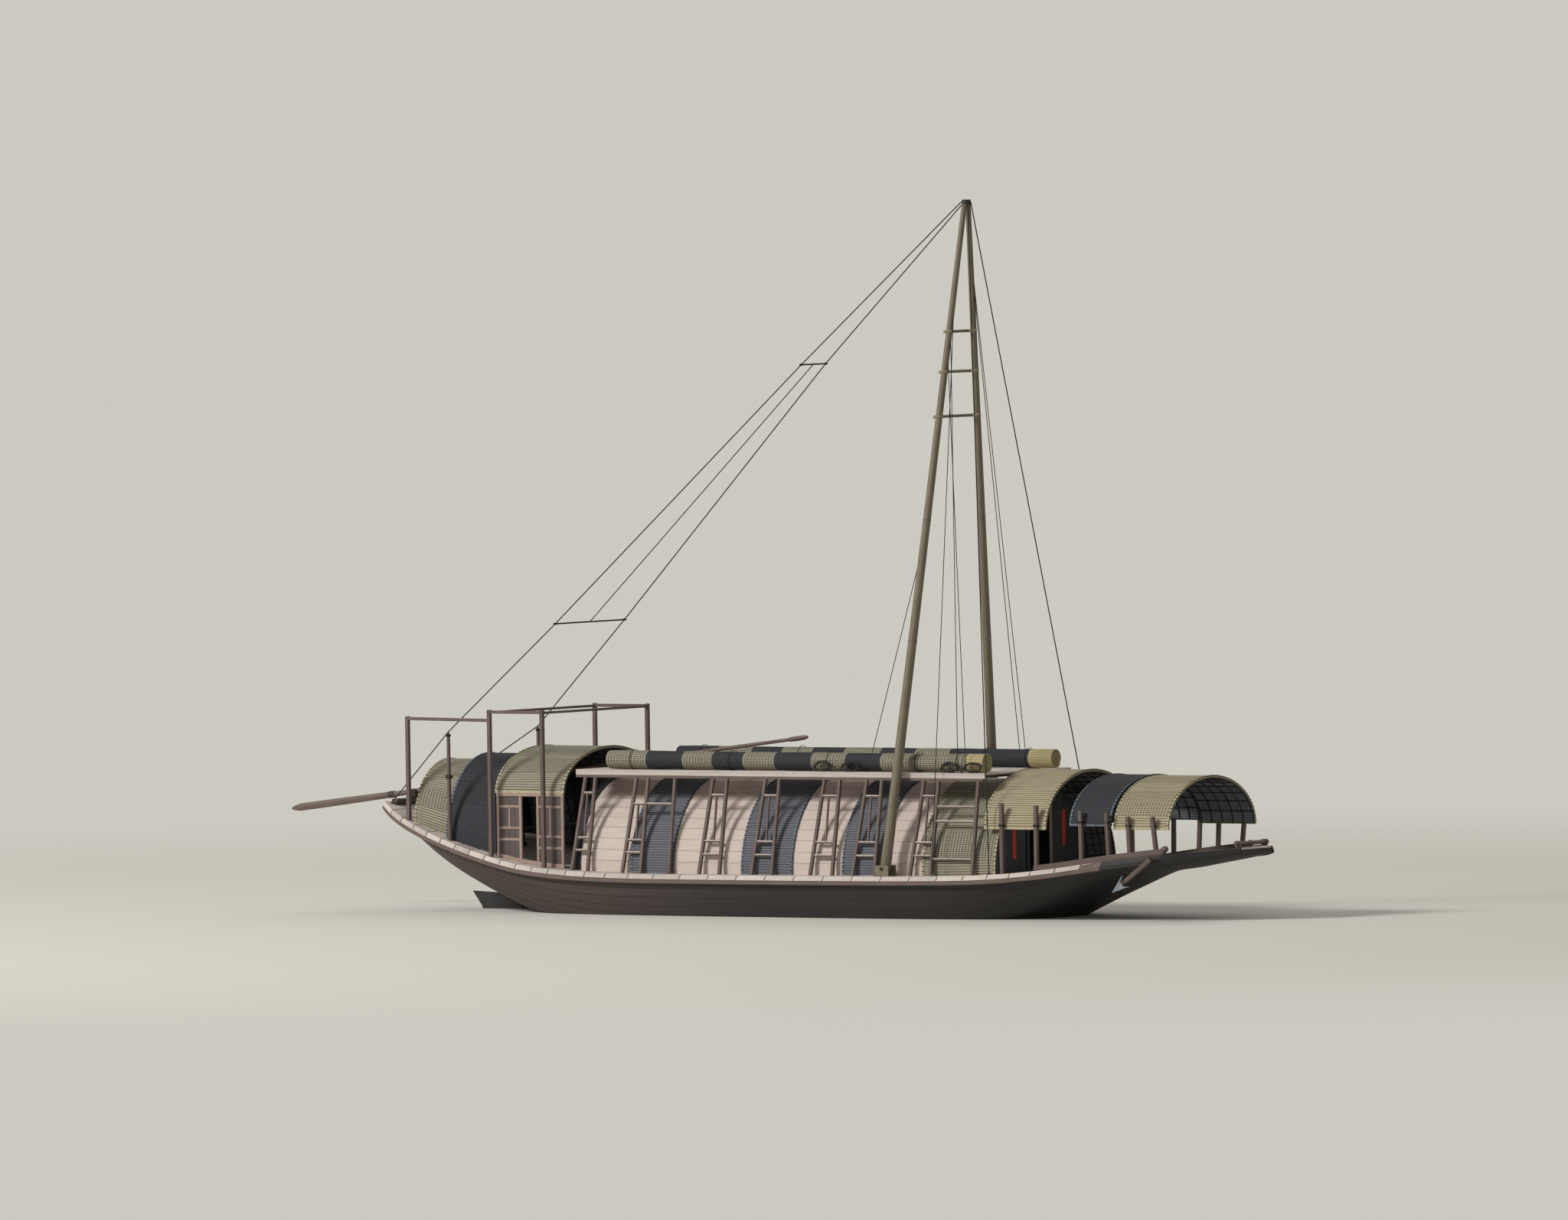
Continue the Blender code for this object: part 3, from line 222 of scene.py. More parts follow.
def reed_finish(name, strip, strip_worn, gap, streak=0.5):
    """Split-bamboo mat: bands of plain reeds and of woven strips, told apart by the weave attribute.

    Real strips are about 12 mm wide. Reeds 60 mm apart and weave cells of 80 by 50 mm are as coarse as
    the picture draws them.
    """
    material, tree = finish(name, 0.8)
    coords = add_node(tree, "TexCoord")
    woven = add_node(tree, "Attribute", attribute_name="weave")
    ridges = {"Scale": WAVE_UNIT / 0.060, "Distortion": 0.25, "Detail": 1.0, "Detail Scale": 0.4}
    reeds = add_node(tree, "TexWave", ridges, {"Vector": coords.outputs["UV"]}, bands_direction="Y")
    spread = {"From Min": 0.03, "From Max": 0.24}
    reed_face = add_node(tree, "MapRange", spread, {"Value": reeds.outputs["Fac"]})
    # plain weave: level strips lie over upright ones in every other cell
    cell = {"Scale": (1 / 0.080, 1 / 0.050, 1.0)}
    cells = add_node(tree, "Mapping", cell, {"Vector": coords.outputs["UV"]})
    feed = {"Vector": cells.outputs["Vector"]}
    over = add_node(tree, "TexChecker", {"Scale": 1.0}, feed)
    upright = add_node(tree, "TexWave", {"Scale": WAVE_UNIT}, feed, bands_direction="X")
    level_strips = add_node(tree, "TexWave", {"Scale": WAVE_UNIT}, feed, bands_direction="Y")
    feed = {0: over.outputs["Fac"], 2: level_strips.outputs["Fac"], 3: upright.outputs["Fac"]}
    strips = add_node(tree, "Mix", {}, feed)
    spread = {"From Min": 0.04, "From Max": 0.55}
    strip_face = add_node(tree, "MapRange", spread, {"Value": strips.outputs[0]})
    feed = {0: woven.outputs["Fac"], 2: reed_face.outputs["Result"], 3: strip_face.outputs["Result"]}
    face = add_node(tree, "Mix", {}, feed)
    drawn = add_node(tree, "Mapping", {"Scale": (1.6, 9.0, 1.0)}, {"Vector": coords.outputs["UV"]})
    cloud = {"Scale": 1.0, "Detail": 4.0, "Roughness": 0.65}
    streaks = add_node(tree, "TexNoise", cloud, {"Vector": drawn.outputs["Vector"]})
    spread = {"From Min": 0.35, "From Max": 0.70, "To Max": streak}
    streaked = add_node(tree, "MapRange", spread, {"Value": streaks.outputs["Fac"]})
    tints = {6: colour(strip), 7: colour(strip_worn)}
    bamboo = add_node(tree, "Mix", tints, {0: streaked.outputs["Result"]}, data_type="RGBA")
    feed = {0: face.outputs[0], 7: bamboo.outputs[2]}
    base = add_node(tree, "Mix", {6: colour(gap)}, feed, data_type="RGBA")
    bump = add_node(tree, "Bump", {"Strength": 0.6, "Distance": 0.006}, {"Height": face.outputs[0]})
    return dressed(material, base.outputs[2], bump)


def hull_finish():
    """Oiled fir planking: long strakes with tight seams, brown aft and darker towards the bow, where the
    darkening is painted shade.
    """
    material, tree = finish("oiled fir hull planking", 0.62)
    coords = add_node(tree, "TexCoord")
    # strakes 190 mm wide in lengths of 5.2 m, with seams of 7 mm
    strakes = {
        "Scale": 1.0,
        "Brick Width": 5.2,
        "Row Height": 0.19,
        "Mortar Size": 0.007,
        "Mortar Smooth": 0.3,
        "Color1": (0.35, 0.35, 0.35, 1.0),
        "Color2": (0.65, 0.65, 0.65, 1.0),
        "Mortar": (0.0, 0.0, 0.0, 1.0),
    }
    planks = add_node(tree, "TexBrick", strakes, {"Vector": coords.outputs["UV"]}, offset=0.37)
    # painted shade: the planking turns from brown to dark grey between 6.5 m aft of midships and 0.5 m
    # forward, for the shade on the bow
    place = add_node(tree, "SeparateXYZ", {}, {"Vector": coords.outputs["Object"]})
    span = {"From Min": -6.5, "From Max": 0.5}
    forward = add_node(tree, "MapRange", span, {"Value": place.outputs["X"]}, interpolation_type="SMOOTHSTEP")
    tints = {6: colour("#4d403d"), 7: colour("#2b2828")}
    tarred = add_node(tree, "Mix", tints, {0: forward.outputs["Result"]}, data_type="RGBA")
    drawn = add_node(tree, "Mapping", {"Scale": (0.7, 16.0, 1.0)}, {"Vector": coords.outputs["UV"]})
    cloud = {"Scale": 1.0, "Detail": 6.0, "Roughness": 0.65}
    grain = add_node(tree, "TexNoise", cloud, {"Vector": drawn.outputs["Vector"]})
    feed = {0: grain.outputs["Fac"], 1: planks.outputs["Color"]}
    tone = add_node(tree, "Math", {2: 0.72}, feed, operation="MULTIPLY_ADD")
    feed = {"Color": tarred.outputs[2], "Value": tone.outputs["Value"]}
    toned = add_node(tree, "HueSaturation", {}, feed)
    feed = {0: planks.outputs["Fac"], 6: toned.outputs["Color"]}
    seamed = add_node(tree, "Mix", {7: colour("#171413")}, feed, data_type="RGBA")
    height = add_node(tree, "Math", {1: 0.25}, {0: grain.outputs["Fac"]}, operation="MULTIPLY")
    feed = {0: height.outputs["Value"], 1: planks.outputs["Fac"]}
    ridge = add_node(tree, "Math", {}, feed, operation="SUBTRACT")
    bump = add_node(tree, "Bump", {"Strength": 0.6, "Distance": 0.006}, {"Height": ridge.outputs["Value"]})
    return dressed(material, seamed.outputs[2], bump)


def rope_finish(name, light, dark):
    """Tarred hemp rope: strands that wind round it 30 mm apart, drawn coarse so that they show."""
    material, tree = finish(name, 0.85)
    coords = add_node(tree, "TexCoord")
    lay = {"Scale": (1.0, 1.6, 1.0), "Rotation": (0.0, 0.0, math.radians(38))}
    wound = add_node(tree, "Mapping", lay, {"Vector": coords.outputs["UV"]})
    strands = add_node(tree, "TexWave", {"Scale": WAVE_UNIT / 0.030}, {"Vector": wound.outputs["Vector"]})
    tints = {6: colour(dark), 7: colour(light)}
    mixed = add_node(tree, "Mix", tints, {0: strands.outputs["Fac"]}, data_type="RGBA")
    bump = add_node(tree, "Bump", {"Strength": 0.6, "Distance": 0.004}, {"Height": strands.outputs["Fac"]})
    return dressed(material, mixed.outputs[2], bump)


def mottled_finish(name, base, spots, size, roughness, metallic=0.0, relief=0.002):
    """A plain surface with spots of a second colour, each about size metres across."""
    material, tree = finish(name, roughness, Metallic=metallic)
    coords = add_node(tree, "TexCoord")
    clouds = {"Scale": 1 / size, "Detail": 6.0, "Roughness": 0.7}
    cloud = add_node(tree, "TexNoise", clouds, {"Vector": coords.outputs["Object"]})
    spread = {"From Min": 0.42, "From Max": 0.66}
    spotted = add_node(tree, "MapRange", spread, {"Value": cloud.outputs["Fac"]})
    tints = {6: colour(base), 7: colour(spots)}
    mixed = add_node(tree, "Mix", tints, {0: spotted.outputs["Result"]}, data_type="RGBA")
    bump = add_node(tree, "Bump", {"Strength": 0.5, "Distance": relief}, {"Height": cloud.outputs["Fac"]})
    return dressed(material, mixed.outputs[2], bump)


hull_wood = hull_finish()
# brush-painted pine: even brown with a low sheen
frame_wood = timber_finish("brown painted pine frame", "#6b5a54", "#564844", "#7c6c65", roughness=0.6)
# fir scrubbed bare: pale and matt
pale_wood = timber_finish("scrubbed pale fir deck", "#cfc5bf", "#baaea7", "#dad2cc", roughness=0.8)
# fir left to the weather: grey-pink, matt and streaked
house_wood = timber_finish("weathered fir house boards", "#c9bab3", "#b6a79f", "#d2c4bc", roughness=0.8)
# dark grey matt boards: their darkness is painted shade, on the bulkheads and inside the house
dark_wood = timber_finish("dark grey boards painted as shade", "#565b5b", "#424747", "#636866", roughness=0.75)
# hardwood under tar: near black, with a dull shine
tarred_wood = timber_finish("tarred hardwood rudder", "#2e2d2d", "#232222", "#383635", roughness=0.6)
# planed pine without paint: light yellow-brown
jamb_wood = timber_finish("bare pine door jamb", "#c3b49a", "#a8977d", "#cdbfa6", roughness=0.75)
# thin faded paint on pine, rose brown on frames and taupe on panels, with the grain still seen
screen_wood = timber_finish("rose painted pine frame", "#a08a7f", "#8a756b", "#ad978b", roughness=0.65)
infill_wood = timber_finish("taupe painted panel boards", "#5d5250", "#4b4241", "#6a5e5b", roughness=0.7)
# a varnished spar: olive brown, smoother than sawn timber, with long wide grain
mast_wood = timber_finish("varnished fir spar", "#7f7563", "#655c4d", "#8d826f", grain=0.05, roughness=0.5)
# hardwood rubbed with oil: warm brown with a soft shine
sweep_wood = timber_finish("oiled hardwood sweep", "#6a5a51", "#4f423c", "#77665b", roughness=0.55)
# mats of split bamboo: matt ridges, green when fresh, straw when dry, blue-black under tar
olive_mat = reed_finish("olive split-bamboo mat", "#9f9a86", "#827d6b", "#28261e")
straw_mat = reed_finish("straw split-bamboo mat", "#b3a88b", "#988d73", "#3f3a2d")
dark_mat = reed_finish("tarred split-bamboo mat", "#32353c", "#272a2f", "#0f1013")
# the same tarred mat painted lighter for the house mats: painted light, for the stronger light that falls on
# them
house_dark_mat = reed_finish("tarred split-bamboo mat painted lighter as lit", "#6d7079", "#54565d", "#202126")
# a grey copy of the mat for the mats' inner faces: painted shade under the mats
mat_lining = reed_finish("grey mat lining painted as shade", "#82858a", "#6b6e73", "#303134")
plain_mat = reed_finish("plain straw mat face", "#b9ae80", "#a79c70", "#897f5a", streak=0.8)
# cane split and bound over the mats' edges, bare or tarred, and smoked poles under them
mat_edge = mottled_finish("split cane edging", "#bdb391", "#9a9171", 0.08, 0.7)
dark_edge = mottled_finish("tarred cane edging", "#69737f", "#4a525d", 0.08, 0.7)
black_cane = mottled_finish("smoked bamboo ribs", "#1d1f21", "#2a2d30", 0.10, 0.6)
# hemp soaked in tar: black-brown, rough, with no shine
rope = rope_finish("tarred hemp rope", "#3a3531", "#151311")
# iron from the forge, grey with scale, and blackened straps with spots of rust
iron = mottled_finish("forged anchor iron", "#8d969e", "#6f767c", 0.06, 0.55, metallic=0.6)
dark_iron = mottled_finish("blackened iron strap", "#3b3a39", "#4d4137", 0.05, 0.6, metallic=0.7)
# thin dyed paper pasted flat: bright red and quite matt
red_paper = mottled_finish("blank red paper strip", "#fb5a49", "#ec4f3f", 0.12, 0.85, relief=0.001)


# Shapes


def bent_grid(columns, rows, place, flat, weave=None, lining=None):
    """A grid laid on place(along, across), both from 0 to 1; flat gives its pattern's place in metres."""
    bm = bmesh.new()
    bmesh.ops.create_grid(bm, x_segments=columns, y_segments=rows, size=0.5)
    pattern = bm.loops.layers.uv.new("UVMap")
    woven = bm.faces.layers.float.new("weave")
    inside = bm.faces.layers.int.new("lining")
    for face in bm.faces:
        middle = face.calc_center_median()
        along, across = middle.x + 0.5, middle.y + 0.5
        face[woven] = weave(along, across) if weave else 0.0
        face[inside] = 1 if lining and lining(along, across) else 0
        for loop in face.loops:
            loop[pattern].uv = flat(loop.vert.co.x + 0.5, loop.vert.co.y + 0.5)
    for vert in bm.verts:
        vert.co = place(min(max(vert.co.x + 0.5, 0.0), 1.0), min(max(vert.co.y + 0.5, 0.0), 1.0))
    return bm


def closed(bm):
    """The shape with its seam merged, its open ends filled and its faces turned outwards."""
    bmesh.ops.remove_doubles(bm, verts=bm.verts, dist=1e-6)
    rim = [edge for edge in bm.edges if edge.is_boundary]
    if rim:
        bmesh.ops.holes_fill(bm, edges=rim, sides=0)
    bmesh.ops.recalc_face_normals(bm, faces=bm.faces)
    return bm


def grain_along(bm):
    """The pattern's place on a straight piece that still lies along Z: grain runs with its length."""
    pattern = bm.loops.layers.uv.new("UVMap")
    for face in bm.faces:
        for loop in face.loops:
            spot = loop.vert.co
            loop[pattern].uv = (spot.z, spot.x + spot.y)


def eased(bm, ease, segments):
    """Takes off every edge of the shape."""
    bmesh.ops.bevel(
        bm, geom=bm.edges[:], offset=ease, segments=segments, affect="EDGES", profile=0.5, material=-1
    )


def timber(start, end, wide, deep, side=(0.0, 1.0, 0.0), ease=0.006):
    """A sawn timber with eased edges; deep is its size along side."""
    start, end = Vector(start), Vector(end)
    axis = (end - start).normalized()
    out = Vector(side) - axis * axis.dot(Vector(side))
    out.normalize()
    bm = bmesh.new()
    bmesh.ops.create_cube(bm, size=1.0)
    bmesh.ops.scale(bm, vec=(wide, deep, (end - start).length), verts=bm.verts)
    if ease:
        eased(bm, ease, 1)
    grain_along(bm)
    turn = Matrix((out.cross(axis), out, axis)).transposed().to_4x4()
    bmesh.ops.transform(bm, matrix=Matrix.Translation((start + end) / 2) @ turn, verts=bm.verts)
    return bm


def block(corner, opposite, ease=0.006):
    """A sawn block between two opposite corners, with its grain along X."""
    low, high = (Vector([pick(pair) for pair in zip(corner, opposite)]) for pick in (min, max))
    middle, size = (low + high) / 2, high - low
    start = (low.x, middle.y, middle.z)
    return timber(start, (high.x, middle.y, middle.z), size.z, size.y, ease=ease)


def spar(points, radii, sides=16):
    """A round bar through points, closed at both ends; radii is one radius or one for each point."""
    points = [Vector(point) for point in points]
    if not hasattr(radii, "__len__"):
        radii = [radii] * len(points)
    lengths = [0.0]
    for near, far in zip(points, points[1:]):
        lengths.append(lengths[-1] + (far - near).length)
    frames = []
    out = None
    for index, point in enumerate(points):
        ahead = (points[min(index + 1, len(points) - 1)] - points[max(index - 1, 0)]).normalized()
        if out is None:
            out = ahead.orthogonal().normalized()
        out = (out - ahead * ahead.dot(out)).normalized()
        frames.append((out, ahead.cross(out)))
    last = len(points) - 1

    def place(along, across):
        index = round(along * last)
        one, two = frames[index]
        turn = 2 * math.pi * across
        return points[index] + (one * math.cos(turn) + two * math.sin(turn)) * radii[index]

    def flat(along, across):
        index = round(along * last)
        return lengths[index], 2 * math.pi * radii[index] * across

    return closed(bent_grid(last, sides, place, flat))


def cross_bar(x, near, far, z, radius, sides):
    """A round bar straight across the boat, from near to far in Y."""
    return spar([(x, near, z), (x, far, z)], radius, sides)


def swept(places, outline, sides):
    """A long piece with outline(x), a closed row of sideways and upward places, at each x."""
    last = len(places) - 1

    def place(along, across):
        x = places[round(along * last)]
        y, z = outline(x)[round(across * sides) % sides]
        return x, y, z

    def flat(along, across):
        return places[round(along * last)], across * sides * 0.07

    return closed(bent_grid(last, sides, place, flat))


def stations(aft, fore, step=0.22):
    count = max(round((fore - aft) / step), 1)
    return [aft + (fore - aft) * i / count for i in range(count + 1)]


def oblong(near, far, low, high, ease):
    """A rectangle's outline with eased corners."""
    return [
        (near + ease, low),
        (far - ease, low),
        (far, low + ease),
        (far, high - ease),
        (far - ease, high),
        (near + ease, high),
        (near, high - ease),
        (near, low + ease),
    ]


def piece(name, parts, body, slot, replaces=()):
    """One finished object from parts, each a shape, its material and, where it has one, its lining."""
    used = []
    whole = bmesh.new()
    whole.loops.layers.uv.new("UVMap")
    for layer in ("shade", "weave"):
        whole.faces.layers.float.new(layer)
    spare = bpy.data.meshes.new("spare")
    for shape, *coats in parts:
        tone = shades.random()
        for layer in ("shade", "weave"):
            if not shape.faces.layers.float.get(layer):
                shape.faces.layers.float.new(layer)
        shade = shape.faces.layers.float["shade"]
        inside = shape.faces.layers.int.get("lining")
        for coat in coats:
            if coat not in used:
                used.append(coat)
        for face in shape.faces:
            face[shade] = tone
            lined = inside and len(coats) > 1 and face[inside]
            face.material_index = used.index(coats[1] if lined else coats[0])
        shape.to_mesh(spare)
        shape.free()
        whole.from_mesh(spare)
    bpy.data.meshes.remove(spare)
    mesh = bpy.data.meshes.new(name)
    whole.to_mesh(mesh)
    whole.free()
    for coat in used:
        mesh.materials.append(coat)
    mesh.polygons.foreach_set("use_smooth", [True] * len(mesh.polygons))
    mesh.set_sharp_from_angle(angle=math.radians(32))
    made = bpy.data.objects.new(name, mesh)
    bpy.context.scene.collection.objects.link(made)
    if body:
        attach(made, body)
    if replaces:
        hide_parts(*replaces)
    return made


# Camera

AZIMUTH, ELEVATION, ROLL = math.radians(35.0), math.radians(1.8), math.radians(0.9)
DISTANCE = 600.0
PICTURE_WIDTH, PIXELS_PER_METRE, FILM_WIDTH = 2048, 58, 36.0
lens = bpy.data.cameras.new("camera")
lens.sensor_width = FILM_WIDTH
lens.lens = PIXELS_PER_METRE * FILM_WIDTH * DISTANCE / PICTURE_WIDTH
lens.clip_end = 2000.0
camera = bpy.data.objects.new("camera", lens)
bpy.context.scene.collection.objects.link(camera)
target = Vector((-1.034, 0.057, 6.82))
back = Vector((math.sin(AZIMUTH), -math.cos(AZIMUTH), 0.0)) * math.cos(ELEVATION)
back.z = math.sin(ELEVATION)
camera.matrix_world = (
    Matrix.Translation(target + back * DISTANCE)
    @ back.to_track_quat("Z", "Y").to_matrix().to_4x4()
    @ Matrix.Rotation(-ROLL, 4, "Z")
)
bpy.context.scene.camera = camera


# Rope coils on the starboard gangway

ROPE_COILS = (1.14, 1.90, 4.62, 5.24)
COIL_ROPE = 0.014
COIL_TURNS, COIL_STEPS = 9, 28
COIL_LEAN = math.radians(76)
# half the length and half the height of a turn, and how far both vary from turn to turn
COIL_LONG, LONG_VARIES = 0.215, 0.030
COIL_TALL, TALL_VARIES = 0.098, 0.018
COIL_FOOT = (-1.68, GANGWAY_TOP + 0.016)


def coil_path(x):
    """Loose oval turns that stand on the gangway's edge and lean on the rolled mat."""
    path = []
    for i in range(COIL_TURNS * COIL_STEPS + 1):
        turn = i / COIL_STEPS
        angle = 2 * math.pi * turn + 0.6
        long = COIL_LONG + LONG_VARIES * math.sin(1.9 * turn + x)
        tall = COIL_TALL + TALL_VARIES * math.sin(2.6 * turn + 2 * x)
        tilt = 0.16 * math.sin(2.2 * turn + 3 * x)
        across, rise = long * math.cos(angle), tall * math.sin(angle)
        across, rise = across * math.cos(tilt) - rise * math.sin(tilt), across * math.sin(tilt) + rise
        out = 0.018 * math.sin(1.3 * turn * math.pi + x)
        rise = max(rise + 0.112, 0.0)
        y = COIL_FOOT[0] + rise * math.cos(COIL_LEAN) - out * math.sin(COIL_LEAN)
        z = COIL_FOOT[1] + max(rise * math.sin(COIL_LEAN) + out * math.cos(COIL_LEAN), 0.0)
        path.append((x + across, y, z))
    return path


def build_coils():
    for number, x in enumerate(ROPE_COILS, 1):
        path = coil_path(x)
        length = sum((Vector(b) - Vector(a)).length for a, b in zip(path, path[1:]))
        end = Vector(path[-1])
        knotted = [end - Vector((0, 0.012, 0)), end, end + Vector((0, 0.022, 0))]
        parts = [(spar(knotted, [0.007, 0.013, 0.006], 10), rope)]
        knot = piece(f"coil_{number}_end_knot", parts, "hull", "rope")
        parts = [(spar(path, COIL_ROPE / 2, 8), rope)]
        coil = piece(f"coiled_rope_{number}", parts, "hull", "rope", [f"rope_coil_{number}"])
        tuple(path[0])


# Hull

STRAKE_WIDTH, STRAKE_DEPTH, STRAKE_SHOULDER = 0.09, 0.20, 0.02
# aft of here the deck planks' ends lie over the strake
PLANKS_LAP = 8.3
# forward of here the strake takes the hull's finish, whose dark colour there is painted shade
STRAKE_HULL_COLOURED = 8.9
# the open seam between two deck planks, and their widths aft, amidships over that, and forward
SEAM = 0.026
PLANK_AFT, PLANK_WIDER, PLANK_FORE = 0.46, 0.33, 0.62
# half a section of the hull from the deck to the keel, as shares of its half width and of its height
HULL_SECTION = ((1.0, 1.0), (0.93, 0.79), (0.86, 0.58), (0.68, 0.39), (0.50, 0.20), (0.25, 0.10), (0.0, 0.0))


def strake_depth(x):
    return min(STRAKE_DEPTH, deck_z(x) - hull_line(3, x))


def build_hull():
    ring = [(1, *point) for point in HULL_SECTION] + [(-1, *point) for point in reversed(HULL_SECTION)]
    count = len(ring)
    places = stations(*HULL_ENDS, 0.2)
    last = len(places) - 1

    def place(along, across):
        x = places[round(along * last)]
        sign, reach, rise = ring[round(across * count) % count]
        top, half = deck_z(x) - DECK_THICKNESS - GAP, deck_half(x)
        low, low_half = hull_line(3, x), hull_line(4, x)
        return x, sign * (low_half + (half - low_half) * reach), low + (top - low) * rise

    # the girth amidships gives each row its place across the strakes, so the strakes taper to the ends
    girth = [0.0]
    for one, two in zip(ring, ring[1:]):
        step = math.hypot(0.78 * (two[0] * two[1] - one[0] * one[1]), 1.32 * (two[2] - one[2]))
        girth.append(girth[-1] + (step if one[0] == two[0] else 3.2))
    girth.append(girth[-1] + 4.8)

    def flat(along, across):
        return places[round(along * last)], girth[round(across * count)] + 0.095

    shell = closed(bent_grid(last, count, place, flat))
    piece("hull_planking", [(shell, hull_wood)], "hull", "hull_wood", ["hull"])

    planks = []
    x = HULL_ENDS[0] + 0.01
    while x < HULL_ENDS[1] - 0.1:
        wide = PLANK_AFT + PLANK_WIDER * math.exp(-(((x - 0.5) / 5.5) ** 4)) if x < 7 else PLANK_FORE
        end = min(x + wide - SEAM, HULL_ENDS[1])
        board = timber((x, 0, 0), (end, 0, 0), DECK_THICKNESS, 2.0, ease=0.006)
        pattern = board.loops.layers.uv["UVMap"]
        # an edge line near each end lets the plank bend down over the strake
        for cut in (-1.0, 1.0):
            around = board.verts[:] + board.edges[:] + board.faces[:]
            bmesh.ops.bisect_plane(board, geom=around, plane_co=(0, cut * 0.93, 0), plane_no=(0, 1, 0))
        for face in board.faces:
            for loop in face.loops:
                spot = loop.vert.co
                loop[pattern].uv = (spot.y * 2.3, spot.x + spot.z)
        for vert in board.verts:
            at = min(max(vert.co.x, HULL_ENDS[0]), HULL_ENDS[1])
            sign, reach, upper = math.copysign(1.0, vert.co.y), abs(vert.co.y), vert.co.z > 0
            vert.co.z += deck_z(at) - DECK_THICKNESS / 2
            if x > PLANKS_LAP:
                vert.co.y *= deck_half(at)
            elif reach > 0.95:
                # the upper corner comes down to the strake's face and the lower one is tucked behind it
                out = STRAKE_WIDTH + 0.004 if upper else 0.010
                vert.co.y = sign * (deck_half(at) + out + reach - 1.0)
                vert.co.z = deck_z(at) - strake_depth(at) / 2 - (0.0 if upper else 0.012)
            else:
                vert.co.y = sign * (deck_half(at) + STRAKE_SHOULDER)
        planks.append((board, pale_wood))
        x = end + SEAM
    stretches = [f"deck_planking_{stretch}" for stretch in ("stern", "quarter", "waist", "fore")]
    piece("deck_planks", planks, "hull", "pale_wood", stretches)

    for name, sign in SIDES:

        def outline(x, sign=sign):
            near, top, depth = deck_half(x) - 0.03, deck_z(x), strake_depth(x)
            far = deck_half(x) + STRAKE_WIDTH
            low, upper = top - depth, top - depth / 2
            under = 0.014 if x < PLANKS_LAP + 0.4 else 0.002
            shoulder = deck_half(x) + STRAKE_SHOULDER
            face = [(near, low), (far - 0.012, low), (far, low + 0.012), (far, upper - 0.018)]
            face += [(far - 0.008, upper - 0.010), (shoulder, top - 2 * under)]
            face += [(shoulder - 0.012, top - under), (near, top - under)]
            return [(sign * y, z) for y, z in face]

        strake = [
            (swept(stations(HULL_ENDS[0], STRAKE_HULL_COLOURED, 0.1), outline, 8), frame_wood),
            (swept(stations(STRAKE_HULL_COLOURED, HULL_ENDS[1], 0.1), outline, 8), hull_wood),
        ]
        piece(f"gunwale_strake_{name}", strake, "hull", "frame_wood", [f"rubbing_strake_{name}"])


# Arched mats and the boarded house


def on_deck(x):
    return deck_z(x) + GAP


def level(height):
    return lambda x: height


def arch_angles(half, rise, rows):
    """Angles round an arch that divide its length evenly, and that length."""
    fine = 400
    run = [0.0]
    for i in range(fine):
        a, b = math.pi * i / fine, math.pi * (i + 1) / fine
        step = math.hypot(half * (math.cos(b) - math.cos(a)), rise * (math.sin(b) - math.sin(a)))
        run.append(run[-1] + step)
    angles = []
    index = 0
    for row in range(rows + 1):
        wanted = run[-1] * row / rows
        while index < fine - 1 and run[index + 1] < wanted:
            index += 1
        share = (wanted - run[index]) / (run[index + 1] - run[index])
        angles.append(math.pi * (index + min(share, 1.0)) / fine)
    return angles, run[-1]


def arch(aft, fore, half, crown, foot, thickness, rows=72, bands=(), step=0.5):
    """An arched shell; bands are the stretches of woven strips, by distance from the crown."""
    middle = (aft + fore) / 2
    angles, length = arch_angles(half, crown - foot(middle), rows)
    places = stations(aft, fore, step)
    last = len(places) - 1
    ring = 2 * rows + 2

    def spot(across):
        index = round(across * ring) % ring
        return (index, 0.0) if index <= rows else (ring - 1 - index, thickness)

    def place(along, across):
        row, inner = spot(across)
        x, angle = places[round(along * last)], angles[row]
        low = foot(x)
        height = low + (crown - inner - low) * max(math.sin(angle), 0.0)
        return x, (half - inner) * math.cos(angle), height

    def flat(along, across):
        row, inner = spot(across)
        return places[round(along * last)], length * (row / rows - 0.5)

    def weave(along, across):
        index = min(across * ring, ring - 1)
        row = index if index <= rows else ring - 1 - index
        away = abs(length * (row / rows - 0.5))
        return 1.0 if any(low <= away < high for low, high in bands) else 0.0

    def lining(along, across):
        return across * ring > rows + 0.5

    return closed(bent_grid(last, ring, place, flat, weave, lining))


# the binding over a mat's ends and its lashings, and the hoops under an open mat
BINDING_WIDTH, TIE_SPACING = 0.045, 0.10
HOOP_SPACING, HOOP_RADIUS, LATH_RADIUS = 0.27, 0.014, 0.011


def hoop(x, half, crown, foot):
    """A round cane bent to the arch at one place along the hull."""
    low = foot(x)
    angles, _ = arch_angles(half, crown - low, 40)
    path = [(x, half * math.cos(angle), low + (crown - low) * math.sin(angle)) for angle in angles]
    return spar(path, HOOP_RADIUS, 6)


def ties(x, half, crown, foot, reach):
    """Short lashings across an edge band, all round the arch."""
    low = foot(x)
    rise = crown - low
    _, length = arch_angles(half, rise, 4)
    angles, _ = arch_angles(half, rise, round(length / TIE_SPACING))
    bm = bmesh.new()
    for angle in angles[1:-1]:
        spot = Vector((x, half * math.cos(angle), low + rise * math.sin(angle)))
        out = Vector((0.0, math.cos(angle) / half, math.sin(angle) / rise)).normalized()
        flat = out.cross(Vector((1.0, 0.0, 0.0)))
        turn = Matrix((Vector((1.0, 0.0, 0.0)), flat, out)).transposed().to_4x4()
        size = Matrix.Diagonal((reach, 0.016, 0.014, 1.0))
        bmesh.ops.create_cube(bm, size=1.0, matrix=Matrix.Translation(spot) @ turn @ size)
    bm.loops.layers.uv.new("UVMap")
    return bm


